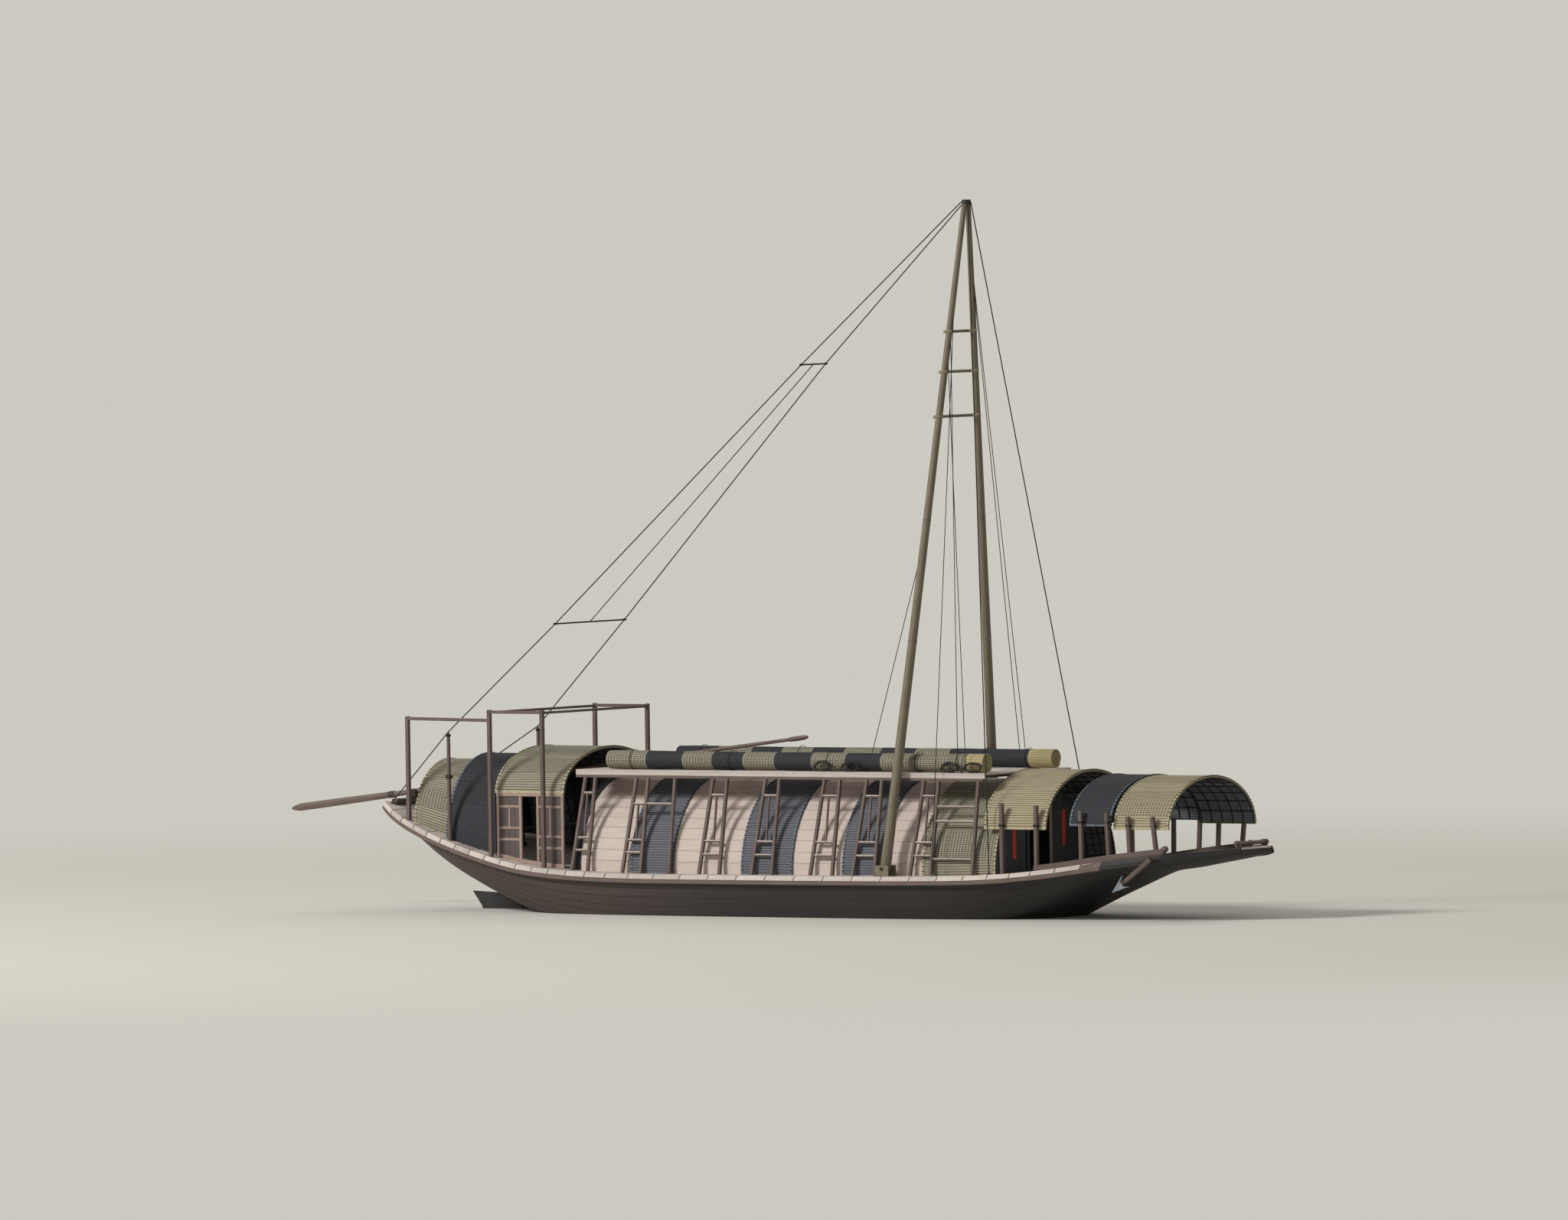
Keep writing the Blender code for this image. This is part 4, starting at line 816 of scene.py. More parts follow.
def mat_parts(aft, fore, half, crown, foot, thickness, face, bands, edge, open_below, step=0.5):
    """A mat with bound edges, and under an open mat the bamboo hoops and laths that carry it."""
    # the mat's inner faces take the grey lining, a painted shade under the mat
    parts = [(arch(aft, fore, half, crown, foot, thickness, bands=bands, step=step), face, mat_lining)]
    wide = BINDING_WIDTH
    for low, high in ((aft, aft + wide), (fore - wide, fore)):
        band = arch(low, high, half + 0.008, crown + 0.008, foot, thickness * 0.5, rows=48, step=wide)
        parts.append((band, edge))
        lashed = ties((low + high) / 2, half + 0.010, crown + 0.010, foot, wide * 1.25)
        parts.append((lashed, black_cane))
    if not open_below:
        return parts
    inner, top = half - thickness - 0.012, crown - thickness - 0.012
    count = max(round((fore - aft) / HOOP_SPACING), 2)
    for i in range(count + 1):
        parts.append((hoop(aft + 0.03 + (fore - aft - 0.06) * i / count, inner, top, foot), black_cane))
    angles, _ = arch_angles(inner - 0.02, top - 0.02 - foot((aft + fore) / 2), 16)
    for angle in angles:
        ends = []
        for x in (aft + 0.01, fore - 0.01):
            low = foot(x)
            rise = (top - 0.02 - low) * max(math.sin(angle), 0.006)
            ends.append((x, (inner - 0.02) * math.cos(angle), low + rise + 0.012))
        parts.append((spar(ends, LATH_RADIUS, 6), black_cane))
    return parts


def mat_slot(face):
    return "dark_mat" if face in (dark_mat, house_dark_mat) else "olive_mat"


# name, after end, fore end, woven face, binding, then the woven bands' distances from the crown
HOUSE_MATS = (
    ("house_mat_dark_1", -4.00, -2.82, house_dark_mat, dark_edge, ()),
    ("house_mat_dark_2", -0.96, 0.43, house_dark_mat, dark_edge, ()),
    ("house_mat_dark_3", 1.80, 2.94, house_dark_mat, dark_edge, ()),
    ("house_mat_olive", 3.98, 5.97, olive_mat, mat_edge, ((1.02, 1.62), (2.12, 2.78))),
)
# the vault's boards lap over one another like shingles, from one side to the other
HOUSE_BOARDS, BOARD_LAP, BOARD_SHIFT = 24, 0.007, 0.37
VAULT_RISE, VAULT_WALL = 2.15, 0.05
# steps in which the vault's arch is measured
FINE = 1000


def build_house():
    boards = HOUSE_BOARDS
    _, length = arch_angles(VAULT_HALF, VAULT_RISE, boards)
    fine, _ = arch_angles(VAULT_HALF, VAULT_RISE, FINE)
    lips = [(board + share) / boards for board in range(boards) for share in (0.0, 0.94)] + [1.0]
    lap = [0.0, BOARD_LAP] * boards + [0.0]
    rows = len(lips) - 1
    places = stations(HOUSE_AFT, HOUSE_FORE, 0.5)
    last = len(places) - 1
    ring = 2 * rows + 2

    def spot(across):
        index = round(across * ring) % ring
        inner = index > rows
        row = ring - 1 - index if inner else index
        return row, VAULT_WALL if inner else lap[row]

    def place(along, across):
        row, inner = spot(across)
        x = places[round(along * last)]
        angle = fine[round(lips[row] * FINE)]
        low = on_deck(x)
        height = low + (VAULT_CROWN - inner - low) * max(math.sin(angle), 0.0)
        return x, (VAULT_HALF - inner) * math.cos(angle), height

    def flat(along, across):
        row, _ = spot(across)
        board = int(lips[row] * boards + 0.01)
        return places[round(along * last)] + BOARD_SHIFT * board, length * lips[row]

    def inside(along, across):
        return across * ring > rows + 0.5

    shell = closed(bent_grid(last, ring, place, flat, lining=inside))
    seams = []
    for board in range(1, boards):
        angle = fine[round(lips[2 * board] * FINE)]
        path = []
        for x in places:
            low = on_deck(x)
            height = low + (VAULT_CROWN - 0.004 - low) * math.sin(angle)
            path.append((x, (VAULT_HALF - 0.004) * math.cos(angle), height))
        seams.append((spar(path, 0.0055, 5), infill_wood))
    # the vault's inner faces are dark boards: painted shade inside the house
    parts = [(shell, house_wood, dark_wood), *seams]
    for end in (HOUSE_AFT - 0.005, HOUSE_FORE + 0.001):
        rim = arch(end, end + 0.004, VAULT_HALF, VAULT_CROWN, on_deck, 0.055, rows=48, step=0.004)
        parts.append((rim, dark_wood))
    piece("house_boards", parts, "hull", "house_wood", ["house_vault"])

    skin = GAP + 0.03
    for name, aft, fore, face, edge, bands in HOUSE_MATS:
        half, crown = VAULT_HALF + skin, VAULT_CROWN + skin
        parts = mat_parts(aft, fore, half, crown, on_deck, 0.03, face, bands, edge, False)
        piece(f"{name}_woven", parts, "hull", mat_slot(face), [name])
    band = arch(-5.62, -5.40, VAULT_HALF + 0.02, VAULT_CROWN + 0.02, on_deck, 0.0195, step=0.22)
    piece("house_after_band", [(band, dark_mat)], "hull", "dark_mat")


# name, after end, fore end, half width and crown, then as above
STERN_MATS = (
    ("stern_mat_1", -10.35, -9.27, 1.38, 3.40, olive_mat, mat_edge, ((0.42, 0.95), (1.35, 1.85))),
    ("stern_mat_2", -9.25, -7.77, 1.66, 3.54, dark_mat, dark_edge, ((0.45, 1.00), (1.40, 1.95))),
)
# these stand on rails, whose height comes before the crown's
AWNINGS = (
    ("stern_mat_3", -7.74, -5.84, 1.86, 2.72, 3.72, olive_mat, mat_edge, ((0.35, 0.90), (1.30, 1.80))),
    ("fore_awning_1", 5.66, 7.33, 1.85, 2.03, 3.30, straw_mat, mat_edge, ()),
    ("fore_awning_2", 7.94, 9.05, 1.80, 2.12, 3.20, dark_mat, dark_edge, ()),
    ("fore_awning_3", 9.09, 10.56, 1.75, 2.05, 3.19, straw_mat, mat_edge, ((0.35, 0.85), (1.30, 1.95))),
)
MAT_THICKNESS = 0.04
# the curtain at the raised mat's after end, and its side sheets: middle, foot, top, thickness, width
CURTAIN_X, CURTAIN_LOW = -7.755, 2.70
CURTAIN_SHEETS = (
    (1.53, deck_z(CURTAIN_X) + 0.004, 2.78, 0.016, 0.65),
    (1.11, 2.5, 3.30, 0.012, 0.78),
)


def build_mats():
    for name, aft, fore, half, crown, face, edge, bands in STERN_MATS:
        parts = mat_parts(aft, fore, half, crown, on_deck, MAT_THICKNESS, face, bands, edge, True)
        piece(f"{name}_woven", parts, "hull", mat_slot(face), [name])
    # it closes the step between the two mats, and its dark tarred face also stands in for the shade inside
    curtain = arch(-9.265, -9.252, 1.655, 3.535, on_deck, 0.275, step=0.013)
    piece("mat_curtain_between", [(curtain, dark_mat)], "hull", "dark_mat")
    # it hangs round the second mat, and stays open in the middle, where the sweep swings
    x, low = CURTAIN_X, level(CURTAIN_LOW)
    sheets = [(arch(x - 0.010, x + 0.010, 1.855, 3.715, low, 0.33, step=0.02), dark_mat)]
    for sign in (-1, 1):
        for y, foot, top, thin, wide in CURTAIN_SHEETS:
            sheet = timber((x, sign * y, foot), (x, sign * y, top), thin, wide, ease=0.003)
            sheets.append((sheet, dark_mat))
    piece("mat_curtain_raised", sheets, "hull", "dark_mat")
    for name, aft, fore, half, low, crown, face, edge, bands in AWNINGS:
        foot = level(low)
        parts = mat_parts(aft, fore, half, crown, foot, MAT_THICKNESS, face, bands, edge, True, step=0.3)
        for sign in (-1, 1):
            y, z = sign * (half - 0.02), low + 0.015
            parts.append((timber((aft, y, z), (fore, y, z), 0.045, 0.050, ease=0.004), edge))
        piece(f"{name}_woven", parts, "hull", mat_slot(face), [name])


# House ends

# half a doorway's width, and its height over the deck
DOOR_HALF, DOOR_HEIGHT = 0.45, 1.55
WALL_THICKNESS, WALL_BOARD = 0.05, 0.21
BULKHEADS = (("bulkhead_fore", 5.85), ("bulkhead_aft", -5.47))


def wall_boards(x, half, crown):
    """Upright boards that fill an arch up to its curve, and leave a doorway."""
    boards = []
    count = round(2 * half / WALL_BOARD)
    low = deck_z(x) + 0.004
    for i in range(count):
        near, far = -half + 2 * half * i / count + 0.003, -half + 2 * half * (i + 1) / count - 0.003
        middle = (near + far) / 2
        foot = deck_z(x) + DOOR_HEIGHT if abs(middle) < DOOR_HALF else low
        board = timber((x, middle, 0.0), (x, middle, 1.0), WALL_THICKNESS, far - near, ease=0.004)
        for vert in board.verts:
            arch_top = deck_z(x) + (crown - deck_z(x)) * math.sqrt(max(1 - (vert.co.y / half) ** 2, 0.0))
            top = max(arch_top, foot + 0.01)
            vert.co.z = foot + (top - foot) * vert.co.z
        boards.append((board, dark_wood))
    return boards


def build_house_ends():
    for name, x in BULKHEADS:
        floor, top = deck_z(x), deck_z(x) + DOOR_HEIGHT
        parts = wall_boards(x, VAULT_HALF - 0.058, VAULT_CROWN - 0.058)
        face = x + math.copysign(0.032, x)
        for y in (-DOOR_HALF, DOOR_HALF):
            jamb = timber((face, y, floor + 0.006), (face, y, top + 0.05), 0.05, 0.06)
            parts.append((jamb, jamb_wood if y > 0 else dark_wood))
        head = timber((face, -0.48, top + 0.05), (face, 0.48, top + 0.05), 0.06, 0.05, (1, 0, 0))
        sill = timber((x, -DOOR_HALF, floor + 0.03), (x, DOOR_HALF, floor + 0.03), 0.05, 0.05, (1, 0, 0))
        parts += [(head, dark_wood), (sill, dark_wood)]
        piece(f"{name}_boards", parts, "hull", "dark_wood", [name])
    strips = []
    for y, low, high in ((-0.98, 1.32, 2.12), (0.98, 1.55, 2.36)):
        strips.append((timber((5.878, y, low), (5.878, y, high), 0.004, 0.13, ease=0.0), red_paper))
    piece("blank_red_paper_strips", strips, "hull", "frame_wood")


LATTICE_AFT, LATTICE_FORE = 5.975, 6.72
LATTICE_HALF, LATTICE_CROWN = VAULT_HALF - 0.03, VAULT_CROWN - 0.03
# how far up the arch the lattice goes
LATTICE_TOP = math.pi / 3


def lattice_spot(x, angle, inset):
    low = on_deck(x)
    rise = (LATTICE_CROWN - inset - low) * max(math.sin(angle), 0.004)
    return x, (LATTICE_HALF - inset) * math.cos(angle), low + rise


def build_lattice():
    """The wall forward of the house on the port side: arched laths on both faces of dark matting."""
    aft, fore = LATTICE_AFT, LATTICE_FORE
    rows = 24
    ring = 2 * rows + 2

    def up(row):
        return row if row <= rows else ring - 1 - row

    def face(along, across):
        row = round(across * ring) % ring
        angle = LATTICE_TOP * up(row) / rows
        return lattice_spot(aft + (fore - aft) * along, angle, 0.012 if row <= rows else 0.036)

    def flat(along, across):
        return (fore - aft) * along, 2.2 * up(round(across * ring)) / rows

    def weave(along, across):
        return 1.0

    parts = [(closed(bent_grid(4, ring, face, flat, weave)), mat_lining)]
    for inset in (0.011, 0.040):
        for i in range(9):
            angle = LATTICE_TOP * i / 8
            ends = lattice_spot(aft, angle, inset), lattice_spot(fore, angle, inset)
            parts.append((timber(*ends, 0.024, 0.022, ease=0.003), black_cane))
        for i in range(5):
            x = aft + 0.02 + (fore - aft - 0.04) * i / 4
            path = [lattice_spot(x, LATTICE_TOP * k / 16, inset + 0.002) for k in range(17)]
            parts.append((spar(path, 0.012, 6), black_cane))
    piece("lattice_wall_laths", parts, "hull", "dark_wood", ["lattice_wall_port"])


# Roof gangways, prop frames and mat rolls

PROP_BASE_Y, PROP_TOP_Y = 1.99, 1.675
STILE, RAIL = 0.075, 0.055
CROSS_BEAMS = (-5.3, -3.5, -1.7, 0.1, 1.9, 3.7, 5.3)
# aft stile foot, fore stile foot, aft stile head, fore stile head, then heights of the rails
PROP_FRAMES = (
    (-5.55, -5.12, -5.35, -5.08, (1.75, 0.74, 0.46)),
    (-4.16, -3.66, -3.94, -3.62, (1.55, 0.74, 0.46)),
    (-2.05, -1.49, -1.83, -1.45, (1.77, 0.74, 0.44)),
    (-0.61, -0.05, -0.39, -0.01, (1.77, 0.74, 0.44)),
    (1.00, 1.60, 1.22, 1.64, (1.77, 0.74, 0.44)),
    (2.16, 2.75, 2.38, 2.79, (1.77, 0.74, 0.44)),
    (3.72, 4.29, 3.94, 4.33, (1.77, 0.74, 0.44)),
)
PROP_POSTS = (-2.88, 5.41)
PROP_TIES = ((1.56, -3.94, -2.88), (1.53, 4.30, 5.41), (1.20, 4.30, 5.41), (0.36, 4.30, 5.41))
PLATE_LOW, PLATE_TOP = 3.0794, 3.1394
BEARER_LOW, BEARER_TOP = 3.1397, 3.2197
# the roof frame's end, and half the width of its plates and bearers
ROOF_END, BEARER_HALF = 5.60, 0.04


def prop_y(x, height):
    return PROP_BASE_Y + (PROP_TOP_Y - PROP_BASE_Y) * height / (PLATE_LOW - deck_z(x))


def build_props():
    for name, sign in SIDES:
        parts = []

        def stile(foot, head, sign=sign, parts=parts):
            start = (foot, sign * PROP_BASE_Y, deck_z(foot) + 0.004)
            end = (head, sign * PROP_TOP_Y, PLATE_LOW + 0.02)
            parts.append((timber(start, end, STILE, STILE, ease=0.007), frame_wood))

        def rail(height, aft, fore, sign=sign, parts=parts):
            middle = (aft + fore) / 2
            y, z = sign * prop_y(middle, height), deck_z(middle) + height
            parts.append((timber((aft, y, z), (fore, y, z), RAIL, RAIL, ease=0.005), frame_wood))
            # a pale strip along its top edge is a painted highlight
            z += RAIL / 2 - 0.009
            bare = timber((aft + 0.03, y, z), (fore - 0.03, y, z), 0.022, RAIL + 0.004, ease=0.003)
            parts.append((bare, pale_wood))

        for aft_foot, fore_foot, aft_head, fore_head, heights in PROP_FRAMES:
            stile(aft_foot, aft_head)
            stile(fore_foot, fore_head)
            span = PLATE_LOW - deck_z(aft_foot)
            for height in heights:
                share = height / span
                aft = aft_foot + (aft_head - aft_foot) * share
                rail(height, aft, fore_foot + (fore_head - fore_foot) * share)
            middle = (aft_foot + aft_head + fore_foot + fore_head) / 4
            ends = [(middle, sign * prop_y(middle, h), deck_z(middle) + h) for h in heights[:2]]
            parts.append((timber(ends[1], ends[0], 0.044, 0.044, ease=0.005), frame_wood))
        for x in PROP_POSTS:
            stile(x, x)
        for height, aft, fore in PROP_TIES:
            rail(height, aft, fore)
        inner, outer = sign * (PROP_TOP_Y - BEARER_HALF), sign * (PROP_TOP_Y + BEARER_HALF)
        parts.append((block((-ROOF_END, inner, PLATE_LOW), (5.55, outer, PLATE_TOP)), frame_wood))
        piece(f"prop_timbers_{name}", parts, "hull", "frame_wood", [f"prop_frames_{name}"])

    parts = []
    for sign in (-1, 1):
        near, far = sign * PROP_TOP_Y - BEARER_HALF, sign * PROP_TOP_Y + BEARER_HALF
        parts.append((block((-ROOF_END, near, BEARER_LOW), (ROOF_END, far, BEARER_TOP)), pale_wood))
    z = (BEARER_LOW + BEARER_TOP) / 2 + 0.002
    for x in CROSS_BEAMS:
        beam = timber((x, -PROP_TOP_Y, z), (x, PROP_TOP_Y, z), 0.08, 0.074, (0, 0, 1))
        parts.append((beam, frame_wood))
    piece("roof_beams", parts, "hull", "frame_wood", ["roof_frame"])


def build_gangways():
    near, far, boards = 0.42, 1.72, 4
    for name, sign in SIDES:
        parts = []
        for board in range(boards):
            one = sign * (near + (far - near) * board / boards + 0.004)
            two = sign * (near + (far - near) * (board + 1) / boards - 0.004)
            # boards side by side meet end to end over different beams
            cuts = [-ROOF_END, *(CROSS_BEAMS[2:6:3] if board % 2 else CROSS_BEAMS[3:5:3]), ROOF_END]
            for aft, fore in zip(cuts, cuts[1:]):
                low, high = (aft + 0.002, one, GANGWAY_TOP - 0.04), (fore - 0.002, two, GANGWAY_TOP)
                parts.append((block(low, high, ease=0.004), pale_wood))
        piece(f"gangway_boards_{name}", parts, "hull", "pale_wood", [f"roof_gangway_{name}"])


# where the mats of a roll begin, each of the second kind after one of the first, and the plain last one
ROLL_CUTS = (-4.87, -3.77, -2.78, -1.96, -1.12, -0.25, 0.76, 1.70, 2.65)
ROLLS = {"starboard": (olive_mat, dark_mat, 4.97), "port": (dark_mat, olive_mat, 4.80)}
ROLL_FORE = 5.44
ROLL_RADIUS, ROLL_Y, ROLL_SHEET = 0.225, 1.36, 0.017
ROLL_TIES = (-4.2, -1.5, 1.2, 3.6, 4.72)


def rolled_mat(aft, fore, y, turns, inner, outer, woven):
    """A mat rolled into a spiral, seen as a spiral at both its ends."""
    sides = 28
    steps = int(turns * sides)
    places = stations(aft, fore, 0.16)
    last = len(places) - 1
    ring = 2 * steps + 2
    z = GANGWAY_TOP + ROLL_RADIUS + GAP

    def place(along, across):
        x = places[round(along * last)]
        index = round(across * ring) % ring
        step = index if index <= steps else ring - 1 - index
        turn = step / sides
        reach = inner + (outer - inner) * turn / turns - (0.0 if index <= steps else ROLL_SHEET)
        uneven = 0.004 * math.sin(2.7 * x + 1.3 * math.sin(4.1 * x)) * min(turn / turns, 1.0)
        reach = min(reach + uneven, ROLL_RADIUS)
        angle = 2 * math.pi * turn - 0.7
        return x, y + reach * math.cos(angle), z + reach * math.sin(angle)

    def flat(along, across):
        index = round(across * ring)
        step = index if index <= steps else ring - index
        return places[round(along * last)], step / sides * 1.35

    def weave(along, across):
        return 1.0 if woven else 0.0

    return closed(bent_grid(last, ring, place, flat, weave))


def build_rolls():
    for name, sign in SIDES:
        *faces, plain_from = ROLLS[name]
        cuts = (*ROLL_CUTS, plain_from, ROLL_FORE)
        parts = []
        for number, (aft, fore) in enumerate(zip(cuts, cuts[1:])):
            last = aft == plain_from
            # the end mats show their whole spiral, and the others only their outer turns
            inner, turns = (0.03, 6.0) if last or number == 0 else (0.14, 2.0)
            outer = ROLL_RADIUS - (0.010 if last else 0.004)
            roll = rolled_mat(aft + 0.002, fore - 0.002, sign * ROLL_Y, turns, inner, outer, not last)
            parts.append((roll, plain_mat if last else faces[number % 2]))
        reach = ROLL_RADIUS + 0.002
        for x in ROLL_TIES:
            tie = []
            for i in range(33):
                angle = 2 * math.pi * i / 32
                z = GANGWAY_TOP + ROLL_RADIUS + reach * math.sin(angle)
                tie.append((x, sign * ROLL_Y + reach * math.cos(angle), max(z, GANGWAY_TOP + 0.003)))
            parts.append((spar(tie, 0.007, 6), rope))
        piece(f"rolled_mats_{name}", parts, "hull", "olive_mat", [f"mat_roll_{name}"])


# Stern screens, posts and rails

SCREEN_STILES = (-7.68, -7.06, -6.58, -5.90)
SCREEN_Y, SCREEN_TOP = 1.83, 2.7197
# boards side by side in one panel, and its middle and upper rails' heights over the deck
PANEL_BOARDS, PANEL_RAILS = 4, (0.62, 0.36)


def build_screens():
    for name, sign in SIDES:
        y = sign * SCREEN_Y
        parts = []
        aft, fore = SCREEN_STILES[0] - 0.04, SCREEN_STILES[-1] + 0.04

        def sill(x, y=y):
            low = deck_z(x) + 0.002
            return [(y + across, z) for across, z in oblong(-0.03, 0.03, low, low + 0.09, 0.006)]

        parts.append((swept(stations(aft, fore, 0.22), sill, 8), screen_wood))
        parts.append((block((aft, y - 0.03, SCREEN_TOP - 0.08), (fore, y + 0.03, SCREEN_TOP)), screen_wood))
        for x in SCREEN_STILES:
            ends = (x, y, deck_z(x) + 0.03), (x, y, SCREEN_TOP - 0.02)
            parts.append((timber(*ends, 0.07, 0.052), screen_wood))
        for one, two in (SCREEN_STILES[:2], SCREEN_STILES[2:]):
            foot, top = deck_z(one) + 0.04, SCREEN_TOP - 0.04
            for i in range(PANEL_BOARDS):
                x = one + (two - one) * (i + 0.5) / PANEL_BOARDS
                width = (two - one) / PANEL_BOARDS - 0.004
                board = timber((x, y, deck_z(x) + 0.05), (x, y, top), width, 0.014, ease=0.002)
                parts.append((board, infill_wood))
            for z in (top - 0.27, *(foot + height for height in PANEL_RAILS)):
                parts.append((timber((one, y, z), (two, y, z), 0.06, 0.044, ease=0.004), screen_wood))
            middle = (one + two) / 2
            ends = (middle, y, foot + PANEL_RAILS[0]), (middle, y, top - 0.27)
            parts.append((timber(*ends, 0.044, 0.036, ease=0.004), screen_wood))
        piece(f"screen_panels_{name}", parts, "hull", "frame_wood", [f"stern_screen_{name}"])


# place along and across the hull, and the top
STERN_POSTS = ((-10.47, 1.42, 4.41), (-7.73, 2.06, 4.60), (-6.27, 2.06, 4.60))


def build_stern_posts():
    """The after post and its rail stand on the starboard side only."""
    parts = []
    for x, y, top in STERN_POSTS:
        for sign in (-1,) if x < -8.0 else (-1, 1):
            ends = (x, sign * y, deck_z(x) + 0.004), (x, sign * y, top)
            parts.append((timber(*ends, 0.09, 0.09, ease=0.008), frame_wood))
            bolt = cross_bar(x, sign * (y + 0.040), sign * (y + 0.050), top - 0.05, 0.012, 8)
            parts.append((bolt, dark_iron))
    (ax, ay, _), (cx, cy, _), (dx, dy, _) = STERN_POSTS
    for sign in (-1, 1):
        parts.append((timber((cx, sign * cy, 4.55), (dx, sign * dy, 4.55), 0.07, 0.07), frame_wood))
    parts.append((timber((ax, -ay, 4.36), (cx, -cy, 4.36), 0.07, 0.07), frame_wood))
    for x, y in ((cx, cy), (dx, dy)):
        parts.append((timber((x, -y, 4.54), (x, y, 4.54), 0.056, 0.056, (0, 0, 1)), frame_wood))
    piece("stern_post_timbers", parts, "hull", "frame_wood", ["stern_posts"])
    x, y, _ = STAY_POST
    for name, sign in SIDES:
        heights = (deck_z(x) - 0.01, 2.9, STAY_POST_TOP - 0.03, STAY_POST_TOP)
        shaft = spar([(x, sign * y, z) for z in heights], [0.05, 0.046, 0.042, 0.034], 18)
        cheek = timber((x, sign * y, 3.02), (x, sign * y, 3.10), 0.13, 0.13, ease=0.01)
        parts = [(shaft, frame_wood), (cheek, dark_iron)]
        piece(f"stay_post_turned_{name}", parts, "hull", "frame_wood", [f"stay_post_{name}"])


# Bow rails and the posts of the fore awnings

RAIL_AFT, RAIL_FORE = 7.05, 10.42
# place along the hull, top, and the half width and the rail height of the awning that the post holds
FORE_POSTS = (
    (7.10, 2.57, 1.85, 2.03),
    (8.27, 2.46, 1.80, 2.12),
    (8.98, 2.42, 1.80, 2.12),
    (9.52, 2.34, 1.75, 2.05),
    (10.20, 2.34, 1.75, 2.05),
)
HOUSE_POST_X, HOUSE_POST_Y = 6.17, 1.896


def rail_y(x):
    return 1.905 + (1.70 - 1.905) * (x - RAIL_AFT) / (RAIL_FORE - RAIL_AFT)


def build_fore_posts():
    for name, sign in SIDES:

        def outline(x, sign=sign):
            y, low = rail_y(x), deck_z(x) + 0.001
            return [(sign * across, z) for across, z in oblong(y - 0.055, y + 0.055, low, low + 0.13, 0.010)]

        parts = [(swept(stations(RAIL_AFT, RAIL_FORE, 0.2), outline, 8), frame_wood)]
        knob_z, y = deck_z(RAIL_FORE) + 0.13, sign * rail_y(RAIL_FORE)
        path = [(RAIL_FORE - 0.08, y, knob_z - 0.06), (RAIL_FORE - 0.04, y, knob_z - 0.042)]
        path += [(RAIL_FORE + 0.03, y, knob_z - 0.009), (RAIL_FORE + 0.07, y, knob_z + 0.01)]
        parts.append((spar(path, [0.055, 0.075, 0.072, 0.045], 14), frame_wood))
        for x, top, half, edge in FORE_POSTS:
            held = half + 0.046
            foot_y, foot_z = rail_y(x), deck_z(x) + 0.08
            top_y = foot_y + (held - foot_y) * (top - foot_z) / (edge - foot_z)
            ends = (x, sign * foot_y, foot_z), (x, sign * top_y, top)
            parts.append((timber(*ends, 0.09, 0.09, ease=0.008), frame_wood))
            parts.append((lashing((x, sign * (held - 0.005), edge + 0.06)), rope))
        piece(f"fore_post_timbers_{name}", parts, "hull", "frame_wood", [f"fore_posts_{name}"])
        x, y = HOUSE_POST_X, sign * HOUSE_POST_Y
        parts = [(timber((x, y, deck_z(x) + 0.003), (x, y, 2.60), 0.09, 0.09, ease=0.008), frame_wood)]
        parts.append((lashing((x, sign * (HOUSE_POST_Y - 0.005), 2.09)), rope))
        piece(f"house_post_timber_{name}", parts, "hull", "frame_wood", [f"house_post_{name}"])


def lashing(spot):
    """Three turns of cord round a square post."""
    path = []
    for i in range(3 * 16 + 1):
        angle = 2 * math.pi * i / 16
        across, along = math.cos(angle), math.sin(angle)
        square = 0.062 / max(abs(across), abs(along)) * 0.86
        path.append((spot[0] + square * along, spot[1] + square * across, spot[2] + 0.016 * i / 16))
    return spar(path, 0.007, 6)


# Mast

PIN = Vector((3.20, 2.19, 1.12858))
MAST_TOP = Vector((4.16, 0.075, 15.93))
FOOT_RADIUS, HEAD_RADIUS = 0.12, 0.06
MAST_HOOPS = (1.9, 3.6, 6.2, 8.9)
MAST_CROSSBARS = (13.1, 12.2, 11.2)


def leg_at(z):
    share = (z - PIN.z) / (MAST_TOP.z - PIN.z)
    return PIN.lerp(MAST_TOP, share), FOOT_RADIUS + (HEAD_RADIUS - FOOT_RADIUS) * share


def ring_round(middle, axis, reach, thick, wide=0.0, sides=24):
    """A closed hoop of rope or iron round an axis."""
    axis = Vector(axis).normalized()
    one = axis.orthogonal().normalized()
    two = axis.cross(one)
    if wide:
        ends = [Vector(middle) - axis * wide / 2, Vector(middle) + axis * wide / 2]
        return spar(ends, reach + thick, sides)
    path = []
    for i in range(sides + 1):
        angle = 2 * math.pi * i / sides
        path.append(Vector(middle) + (one * math.cos(angle) + two * math.sin(angle)) * (reach + thick))
    return spar(path, thick, 6)


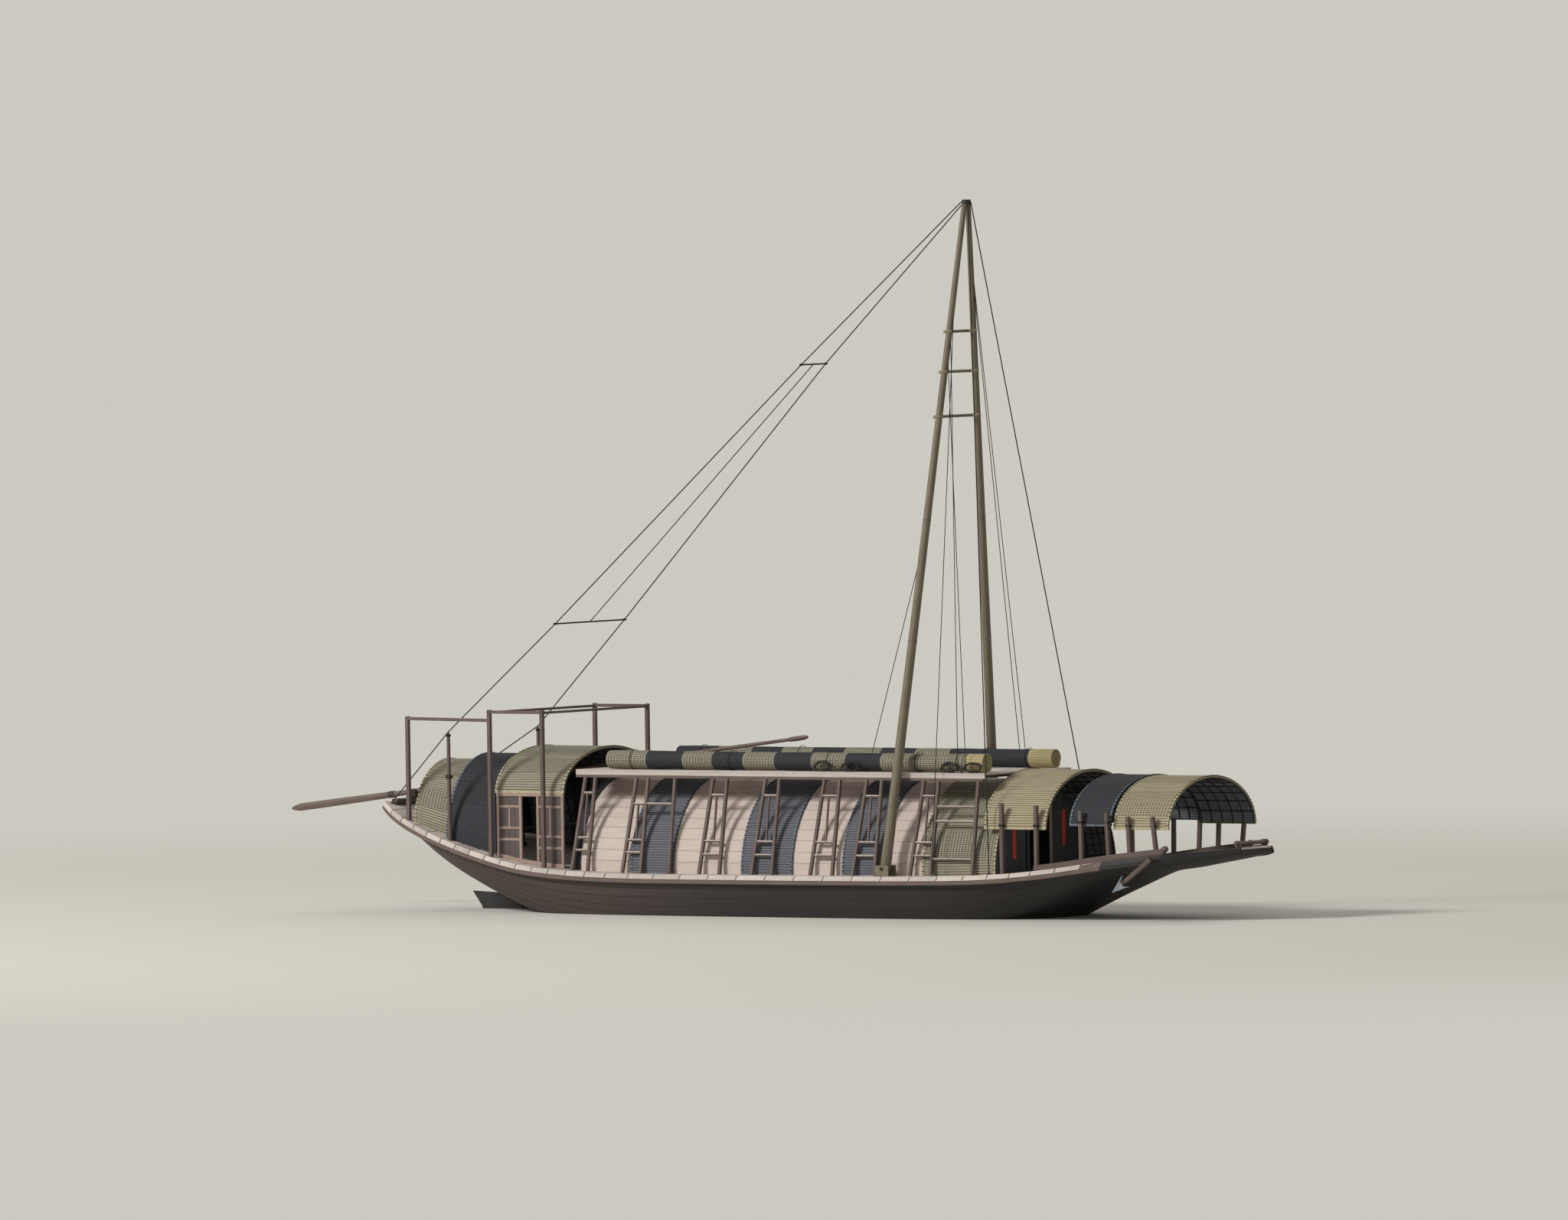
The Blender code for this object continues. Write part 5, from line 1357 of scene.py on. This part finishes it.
def build_mast():
    for name, sign in SIDES:
        turned = Vector((1.0, sign, 1.0))
        foot, head = PIN * turned, MAST_TOP * turned
        axis = (head - foot).normalized()
        heel = foot - axis * 0.05
        path = [heel, heel + axis * 0.03] + [foot.lerp(head, i / 14) for i in range(1, 15)]
        radii = [0.105, 0.12] + [FOOT_RADIUS + (HEAD_RADIUS - FOOT_RADIUS) * i / 14 for i in range(1, 15)]
        parts = [(spar(path, radii, 28), mast_wood)]
        pin = [foot + Vector((0, reach, 0)) for reach in (-0.165, 0.165)]
        parts.append((spar(pin, 0.030, 18), dark_iron))
        for height in MAST_HOOPS:
            middle, reach = leg_at(height)
            parts.append((ring_round(middle * turned, axis, reach, 0.004, wide=0.05), mast_wood))
        piece(f"mast_spar_{name}", parts, "mast", "mast_wood", [f"mast_leg_{name}"])

        outer, inner = PIN.y + FOOT_RADIUS + 0.0195, PIN.y - FOOT_RADIUS - 0.016
        low = deck_z(PIN.x) + 0.002
        parts = []
        for near, far in ((outer, outer + 0.025), (inner - 0.025, inner)):
            parts.append((block((3.02, sign * near, low), (3.38, sign * far, low + 0.245)), mast_wood))
        near, far = sign * (inner - 0.012), sign * (outer + 0.012)
        parts.append((block((3.03, near, low), (3.37, far, low + 0.03)), mast_wood))
        for reach in (inner - 0.030, outer + 0.030):
            cap = cross_bar(PIN.x, sign * (reach - 0.006), sign * (reach + 0.006), PIN.z, 0.045, 16)
            parts.append((cap, dark_iron))
        piece(f"mast_step_cheeks_{name}", parts, "hull", "frame_wood", [f"mast_step_{name}"])

    for number, z in enumerate(MAST_CROSSBARS, 1):
        middle, radius = leg_at(z)
        x = middle.x - radius - 0.035 - GAP
        reach = middle.y + 0.03
        path = [(x, y, z) for y in (-reach, -reach + 0.01, 0, reach - 0.01, reach)]
        parts = [(spar(path, [0.028, 0.035, 0.034, 0.035, 0.028], 16), mast_wood)]
        for sign in (-1, 1):
            for lift in (-0.012, 0.012):
                centre = Vector((middle.x - 0.035, sign * middle.y, z + lift))
                path = []
                for i in range(25):
                    along, across = math.cos(2 * math.pi * i / 24), math.sin(2 * math.pi * i / 24)
                    out = (radius + 0.048) * along, (radius + 0.012) * across, 0.02 * along
                    path.append(centre + Vector(out))
                parts.append((spar(path, 0.007, 6), mat_edge))
        piece(f"mast_crossbar_spar_{number}", parts, "mast", "mast_wood", [f"mast_crossbar_{number}"])
    low, high = (MAST_TOP.x - 0.06, -0.10, 15.9367), (MAST_TOP.x + 0.06, 0.10, 16.05)
    parts = [(block(low, high, ease=0.008), tarred_wood)]
    piece("mast_head_block", parts, "mast", "mast_wood", ["mast_head"])


# Stays, shrouds and halyards: taut rigging between the hull and the mast

STAY_HEAD = Vector((4.07, 0.06, 16.0))
SPREADERS = ((-0.08, 0.48, 12.36), (-6.36, 1.35, 6.53))
STAY_POST, STAY_POST_TOP = (-9.10, 1.75, 4.08), 4.02
STERN_EYE = (-11.40, 0.80, 2.41)
FORE_STAY_FOOT, FORE_STAY_HEAD = (5.98, 2.15), (4.242, 0.06, 16.0)
STAY_RADIUS, SHROUD_RADIUS = 0.013, 0.009
# name, foot, height on the leg, side of the leg, and how far forward of the leg's middle it is tied
SHROUDS = (
    ("shroud_near", (4.45, -2.20, deck_z(4.45) + 0.03), 13.40, -1, 0.07),
    ("shroud_aft", (1.86, -0.88, GANGWAY_TOP + 0.03), 7.90, -1, -0.09),
    ("shroud_far_aft", (4.28, 1.66, GANGWAY_TOP + 0.03), 13.90, 1, 0.07),
    ("shroud_far_fore", (4.44, 1.66, GANGWAY_TOP + 0.03), 14.15, 1, 0.07),
    ("halyard_aft", (4.86, -1.69, GANGWAY_TOP + 0.04), 12.90, -1, 0.07),
    ("halyard_fore", (5.08, -1.69, GANGWAY_TOP + 0.04), 12.40, -1, 0.07),
)


def on_side(spot, sign):
    """A place given for the port side, on the side that sign gives."""
    x, y, z = spot
    return x, sign * y, z


def line(points, radius, step=0.6):
    """A taut rope through points, with rings close enough together to bend with the mast."""
    path = []
    for start, end in zip(points, points[1:]):
        start, end = Vector(start), Vector(end)
        count = max(int((end - start).length / step), 1)
        path += [start.lerp(end, i / count) for i in range(count)]
    path.append(Vector(points[-1]))
    return spar(path, radius, 6)


def build_stays():
    parts = []
    for sign in (-1, 1):
        top, upper, lower, post = (on_side(spot, sign) for spot in (STAY_HEAD, *SPREADERS, STAY_POST))
        parts.append((line([post, lower, upper, top], STAY_RADIUS), rope))
        for spot in (upper, lower):
            parts.append((ring_round(spot, (1, 0, 1), 0.016, 0.010, sides=12), rope))
    for x, half, z in SPREADERS:
        parts.append((spar([(x, -half - 0.06, z), (x, 0, z), (x, half + 0.06, z)], 0.018, 8), rope))
    (bar_x, _, bar_z), (low_x, _, low_z) = SPREADERS
    parts.append((line([(low_x, 0, low_z), (bar_x, 0, bar_z)], 0.011), rope))
    upper_part = piece("backstay_ropes", parts, None, "rope", ["backstay_bridle"])
    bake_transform(upper_part, "hull", "mast", start=(STAY_POST[0], 0, STAY_POST[2]), end=tuple(STAY_HEAD))

    parts = []
    for sign in (-1, 1):
        (x, y, z), eye = on_side(STAY_POST, sign), on_side(STERN_EYE, sign)
        parts.append((line([eye, (x, y, z)], STAY_RADIUS), rope))
        for lift in (0.0, 0.02, 0.04):
            parts.append((ring_round((x, y, z - 0.10 + lift), (0, 0, 1), 0.040, 0.010, sides=16), rope))
        parts.append((line([(x, y, z - 0.07), (x, y, z)], 0.018, 0.05), rope))
        ring = ring_round((eye[0], eye[1], eye[2] - 0.012), (0, 1, 0), 0.022, 0.008, sides=16)
        parts.append((ring, dark_iron))
    piece("backstay_falls", parts, "hull", "rope")

    foot_x, foot_y = FORE_STAY_FOOT
    x, y, z = FORE_STAY_HEAD
    parts = []
    for sign in (-1, 1):
        foot = (foot_x, sign * foot_y, deck_z(foot_x) + 0.02)
        parts.append((line([foot, (x, sign * y, z)], STAY_RADIUS), rope))
    parts.append((spar([(x, -y, z), (x, 0.0, z), (x, y, z)], STAY_RADIUS, 8), rope))
    stays = piece("fore_stay_ropes", parts, None, "rope", ["fore_stays"])
    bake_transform(stays, "hull", "mast", start=(foot_x, 0, deck_z(foot_x)), end=(x, 0, z))
    for name, sign in SIDES:
        eye = ring_round((foot_x, sign * foot_y, deck_z(foot_x) + 0.03), (0, 1, 0), 0.024, 0.008, sides=16)
        piece(f"fore_stay_ring_{name}", [(eye, dark_iron)], "hull", "iron")

    for name, foot, height, sign, reach in SHROUDS:
        middle, _ = leg_at(height)
        head = (middle.x + reach, sign * middle.y, height)
        rope_line = piece(name, [(line([foot, head], SHROUD_RADIUS), rope)], None, "rope")
        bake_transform(rope_line, "hull", "mast", start=foot, end=head)
        foot = Vector(foot)
        toggle = spar([foot - Vector((0.07, 0, 0.012)), foot + Vector((0.07, 0, -0.012))], 0.014, 10)
        ring = ring_round(foot - Vector((0, 0, 0.008)), (0, 1, 0), 0.016, 0.006, sides=12)
        piece(f"{name}_toggle", [(toggle, mast_wood), (ring, dark_iron)], "hull", "mast_wood")


# Sweep, rudder, bow roller and anchor

SWEEP_PIVOT, SWEEP_SLOPE = (-11.33, 2.64), 0.121
# place along the hull, half the height and half the thickness, from the blade's tip to the handle
SWEEP_SECTIONS = (
    (-14.78, 0.020, 0.014),
    (-14.72, 0.050, 0.018),
    (-14.55, 0.085, 0.024),
    (-14.00, 0.086, 0.027),
    (-13.40, 0.082, 0.030),
    (-12.60, 0.076, 0.034),
    (-12.10, 0.072, 0.038),
    (-11.75, 0.062, 0.054),
    (-10.00, 0.058, 0.053),
    (-8.00, 0.054, 0.052),
    (-4.50, 0.047, 0.046),
    (-0.92, 0.040, 0.040),
    (-0.86, 0.054, 0.054),
    (-0.68, 0.057, 0.057),
    (-0.50, 0.054, 0.054),
    (-0.40, 0.030, 0.030),
)


def sweep_z(x):
    return SWEEP_PIVOT[1] + SWEEP_SLOPE * (x - SWEEP_PIVOT[0])


def build_sweep():
    sections = SWEEP_SECTIONS
    last = len(sections) - 1

    def place(along, across):
        x, tall, thin = sections[round(along * last)]
        angle = 2 * math.pi * across
        return x, thin * math.cos(angle), sweep_z(x) + tall * math.sin(angle)

    def flat(along, across):
        return sections[round(along * last)][0], across * 0.34

    shaft = closed(bent_grid(last, 20, place, flat))
    x, z = SWEEP_PIVOT
    parts = [(shaft, sweep_wood), (cross_bar(x, -0.108, 0.108, z, 0.020, 16), dark_iron)]
    axis = (1, 0, SWEEP_SLOPE)
    for at in (-12.02, -11.96, -11.90):
        parts.append((ring_round((at, 0, sweep_z(at)), axis, 0.066, 0.008), rope))
    for at in (-13.3, -12.9):
        parts.append((ring_round((at, 0, sweep_z(at)), axis, 0.030, 0.004, sides=20), dark_iron))
    piece("sweep_oar", parts, "sweep", "frame_wood", ["stern_sweep"])

    low = 2.5046
    parts = [(block((x - 0.09, -0.105, low), (x + 0.09, 0.105, low + 0.03), ease=0.004), dark_iron)]
    for sign in (-1, 1):
        cheek = block((x - 0.10, sign * 0.075, low), (x + 0.10, sign * 0.105, z + 0.06), ease=0.008)
        parts.append((cheek, dark_iron))
        parts.append((cross_bar(x, sign * 0.104, sign * 0.112, z, 0.030, 12), dark_iron))
    parts.append((spar([(x, 0, low - 0.07), (x, 0, low + 0.02)], 0.029, 16), dark_iron))
    piece("sweep_yoke_forging", parts, "yoke", "iron", ["sweep_yoke"])
    parts = [(timber((x, -0.78, 2.4545), (x, 0.78, 2.4545), 0.16, 0.0995, (0, 0, 1), ease=0.012), frame_wood)]
    for y in (-0.62, 0.62):
        parts.append((spar([(x, y, 2.500), (x, y, 2.512)], 0.022, 12), dark_iron))
    piece("stern_beam_timber", parts, "hull", "frame_wood", ["stern_beam"])


RUDDER_BLADE = ((-8.20, 0.33), (-9.72, 0.40), (-9.46, 0.05), (-9.30, -0.56), (-8.20, -0.56))
STOCK_X = -8.35


def plate(outline, low, high, ease):
    """A flat outline in X and Z, made thick along Y, with eased edges."""
    bm = bmesh.new()
    face = bm.faces.new([bm.verts.new((x, low, z)) for x, z in outline])
    made = bmesh.ops.extrude_face_region(bm, geom=[face])
    moved = [item for item in made["geom"] if isinstance(item, bmesh.types.BMVert)]
    bmesh.ops.translate(bm, vec=(0, high - low, 0), verts=moved)
    bmesh.ops.recalc_face_normals(bm, faces=bm.faces)
    eased(bm, ease, 2)
    pattern = bm.loops.layers.uv.new("UVMap")
    for item in bm.faces:
        for loop in item.loops:
            loop[pattern].uv = (loop.vert.co.x, loop.vert.co.z)
    return bm


def build_rudder():
    x, deck = STOCK_X, deck_z(STOCK_X)
    top = deck + 0.52
    stock = spar([(x, 0, z) for z in (-0.56, 1.0, top - 0.02, top)], [0.07, 0.07, 0.07, 0.055], 22)
    parts = [(stock, tarred_wood), (plate(RUDDER_BLADE, -0.035, 0.035, 0.008), tarred_wood)]
    low = deck + 0.025
    parts.append((spar([(x, 0, low), (x, 0, low + 0.05)], 0.12, 28), dark_iron))
    for z in (-0.35, 0.05):
        parts.append((block((-9.2, -0.042, z), (-8.27, 0.042, z + 0.06), ease=0.004), dark_iron))
    parts.append((ring_round((x, 0, top - 0.06), (0, 0, 1), 0.070, 0.004, wide=0.04), dark_iron))
    piece("rudder_blade_and_stock", parts, "rudder", "hull_wood", ["rudder"])
    start, z = x + 0.0741, deck + 0.42
    path = [(start, 0, z), (start + 0.5, 0, z + 0.035), (start + 1.38, 0, z + 0.114)]
    path += [(start + 1.41, 0, z + 0.117), (start + 1.45, 0, z + 0.12)]
    bar = spar(path, [0.042, 0.039, 0.031, 0.036, 0.028], 16)
    piece("tiller_bar", [(bar, sweep_wood)], "rudder", "hull_wood", ["tiller"])


def build_bow():
    x, z = 11.60, 1.7076
    path = [(x, y, z) for y in (-0.50, -0.47, -0.2, 0.2, 0.47, 0.50)]
    parts = [(spar(path, [0.050, 0.050, 0.046, 0.046, 0.050, 0.050], 22), frame_wood)]
    parts.append((cross_bar(x, -0.62, 0.62, z, 0.024, 20), dark_iron))
    for sign in (-1, 1):
        path = [(x, sign * y, z) for y in (0.56, 0.60, 0.64, 0.65)]
        parts.append((spar(path, [0.046, 0.050, 0.047, 0.030], 16), frame_wood))
    piece("bow_roller_barrel", parts, "roller", "frame_wood", ["bow_roller"])
    low = deck_z(x) + 0.012
    parts = [(block((x - 0.06, -0.56, low), (x + 0.06, 0.56, low + 0.025), ease=0.004), frame_wood)]
    for sign in (-1, 1):
        cheek = block((x - 0.08, sign * 0.51, low), (x + 0.08, sign * 0.55, z + 0.06), ease=0.010)
        parts.append((cheek, frame_wood))
        parts.append((cross_bar(x, sign * 0.5495, sign * 0.5555, z, 0.036, 14), dark_iron))
    piece("bow_roller_cheeks", parts, "hull", "frame_wood", ["bow_roller_frame"])


def build_anchor():
    low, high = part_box("anchor_shank")
    y = (low[1] + high[1]) / 2
    head, heel = Vector((10.32, y, 1.46)), Vector((9.46, y, 0.84))
    axis = (heel - head).normalized()
    parts = [(timber(heel, head, 0.10, 0.08, ease=0.014), sweep_wood)]
    for share in (0.04, 0.08, 0.90, 0.95):
        parts.append((ring_round(head.lerp(heel, share), axis, 0.060, 0.006, sides=20), dark_iron))
    hole = head.lerp(heel, 0.06)
    parts.append((ring_round(hole + Vector((0, -0.045, 0)), (0, 1, 0.3), 0.030, 0.009, sides=18), dark_iron))
    piece("anchor_shank_timber", parts, "hull", "frame_wood", ["anchor_shank"])
    across = Vector((axis.z, 0, -axis.x))
    start = heel + axis * GAP
    tip = start + axis * 0.34
    outline = [start + across * 0.06, start + across * 0.16 - axis * 0.14, tip]
    outline += [start - across * 0.16 - axis * 0.14, start - across * 0.06]
    blade = plate([(spot.x, spot.z) for spot in outline], y - 0.025, y + 0.025, 0.010)
    piece("anchor_fluke_forging", [(blade, iron)], "hull", "iron", ["anchor_fluke"])


for build in (
    build_coils,
    build_hull,
    build_house,
    build_mats,
    build_house_ends,
    build_lattice,
    build_props,
    build_gangways,
    build_rolls,
    build_screens,
    build_stern_posts,
    build_fore_posts,
    build_mast,
    build_stays,
    build_sweep,
    build_rudder,
    build_bow,
    build_anchor,
):
    build()


# Floor and light


def floor_finish():
    """Plain pale matt floor that fades out far behind the boat."""
    material, tree = finish("pale matt floor", 0.9, Base_Color=colour("#dfddd6"))
    coords = add_node(tree, "TexCoord")
    away = add_node(tree, "VectorMath", {}, {0: coords.outputs["Object"]}, operation="LENGTH")
    span = {"From Min": 24.0, "From Max": 60.0, "To Min": 1.0, "To Max": 0.0}
    feed = {"Value": away.outputs["Value"]}
    fading = add_node(tree, "MapRange", span, feed, interpolation_type="SMOOTHSTEP")
    tree.links.new(fading.outputs["Result"], tree.nodes["Principled BSDF"].inputs["Alpha"])
    return material


# place, size, strength and tint of each soft lamp
LAMPS = (
    ("key", (-70.0, -105.0, 85.0), 34.0, 165000.0, "#fffdfa"),
    ("fill", (90.0, -110.0, 40.0), 60.0, 11000.0, "#f0f4ff"),
    ("rim", (10.0, 110.0, 80.0), 60.0, 26000.0, "#ffffff"),
)
LAMPS_AIM = Vector((0.0, 0.0, 3.0))


def build_stage():
    bm = bmesh.new()
    bmesh.ops.create_circle(bm, cap_ends=True, segments=96, radius=60.0)
    mesh = bpy.data.meshes.new("floor")
    bm.to_mesh(mesh)
    bm.free()
    mesh.materials.append(floor_finish())
    floor = bpy.data.objects.new("floor", mesh)
    bpy.context.scene.collection.objects.link(floor)
    floor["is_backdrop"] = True

    world = bpy.data.worlds.new("pale studio")
    bpy.context.scene.world = world
    world.use_nodes = True
    tree = world.node_tree
    backdrop = tree.nodes["Background"]
    backdrop.inputs["Color"].default_value = colour("#dcd9cf")
    # the backdrop is bright in view, and lights the boat with half of that
    seen = add_node(tree, "LightPath")
    feed = {"Value": seen.outputs["Is Camera Ray"]}
    strength = add_node(tree, "MapRange", {"To Min": 0.42, "To Max": 0.85}, feed)
    tree.links.new(strength.outputs["Result"], backdrop.inputs["Strength"])

    for name, spot, size, power, tint in LAMPS:
        lamp = bpy.data.lights.new(name, "AREA")
        lamp.size = size
        lamp.energy = power
        lamp.color = colour(tint)[:3]
        item = bpy.data.objects.new(name, lamp)
        aim = (Vector(spot) - LAMPS_AIM).to_track_quat("Z", "Y").to_matrix().to_4x4()
        item.matrix_world = Matrix.Translation(spot) @ aim
        bpy.context.scene.collection.objects.link(item)
    view = bpy.context.scene.view_settings
    view.view_transform = "Standard"
    view.look = "None"


build_stage()

boxes = {"cad": cad_box, "visual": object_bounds()}
{key: [list(corner) for corner in box] for key, box in boxes.items()}
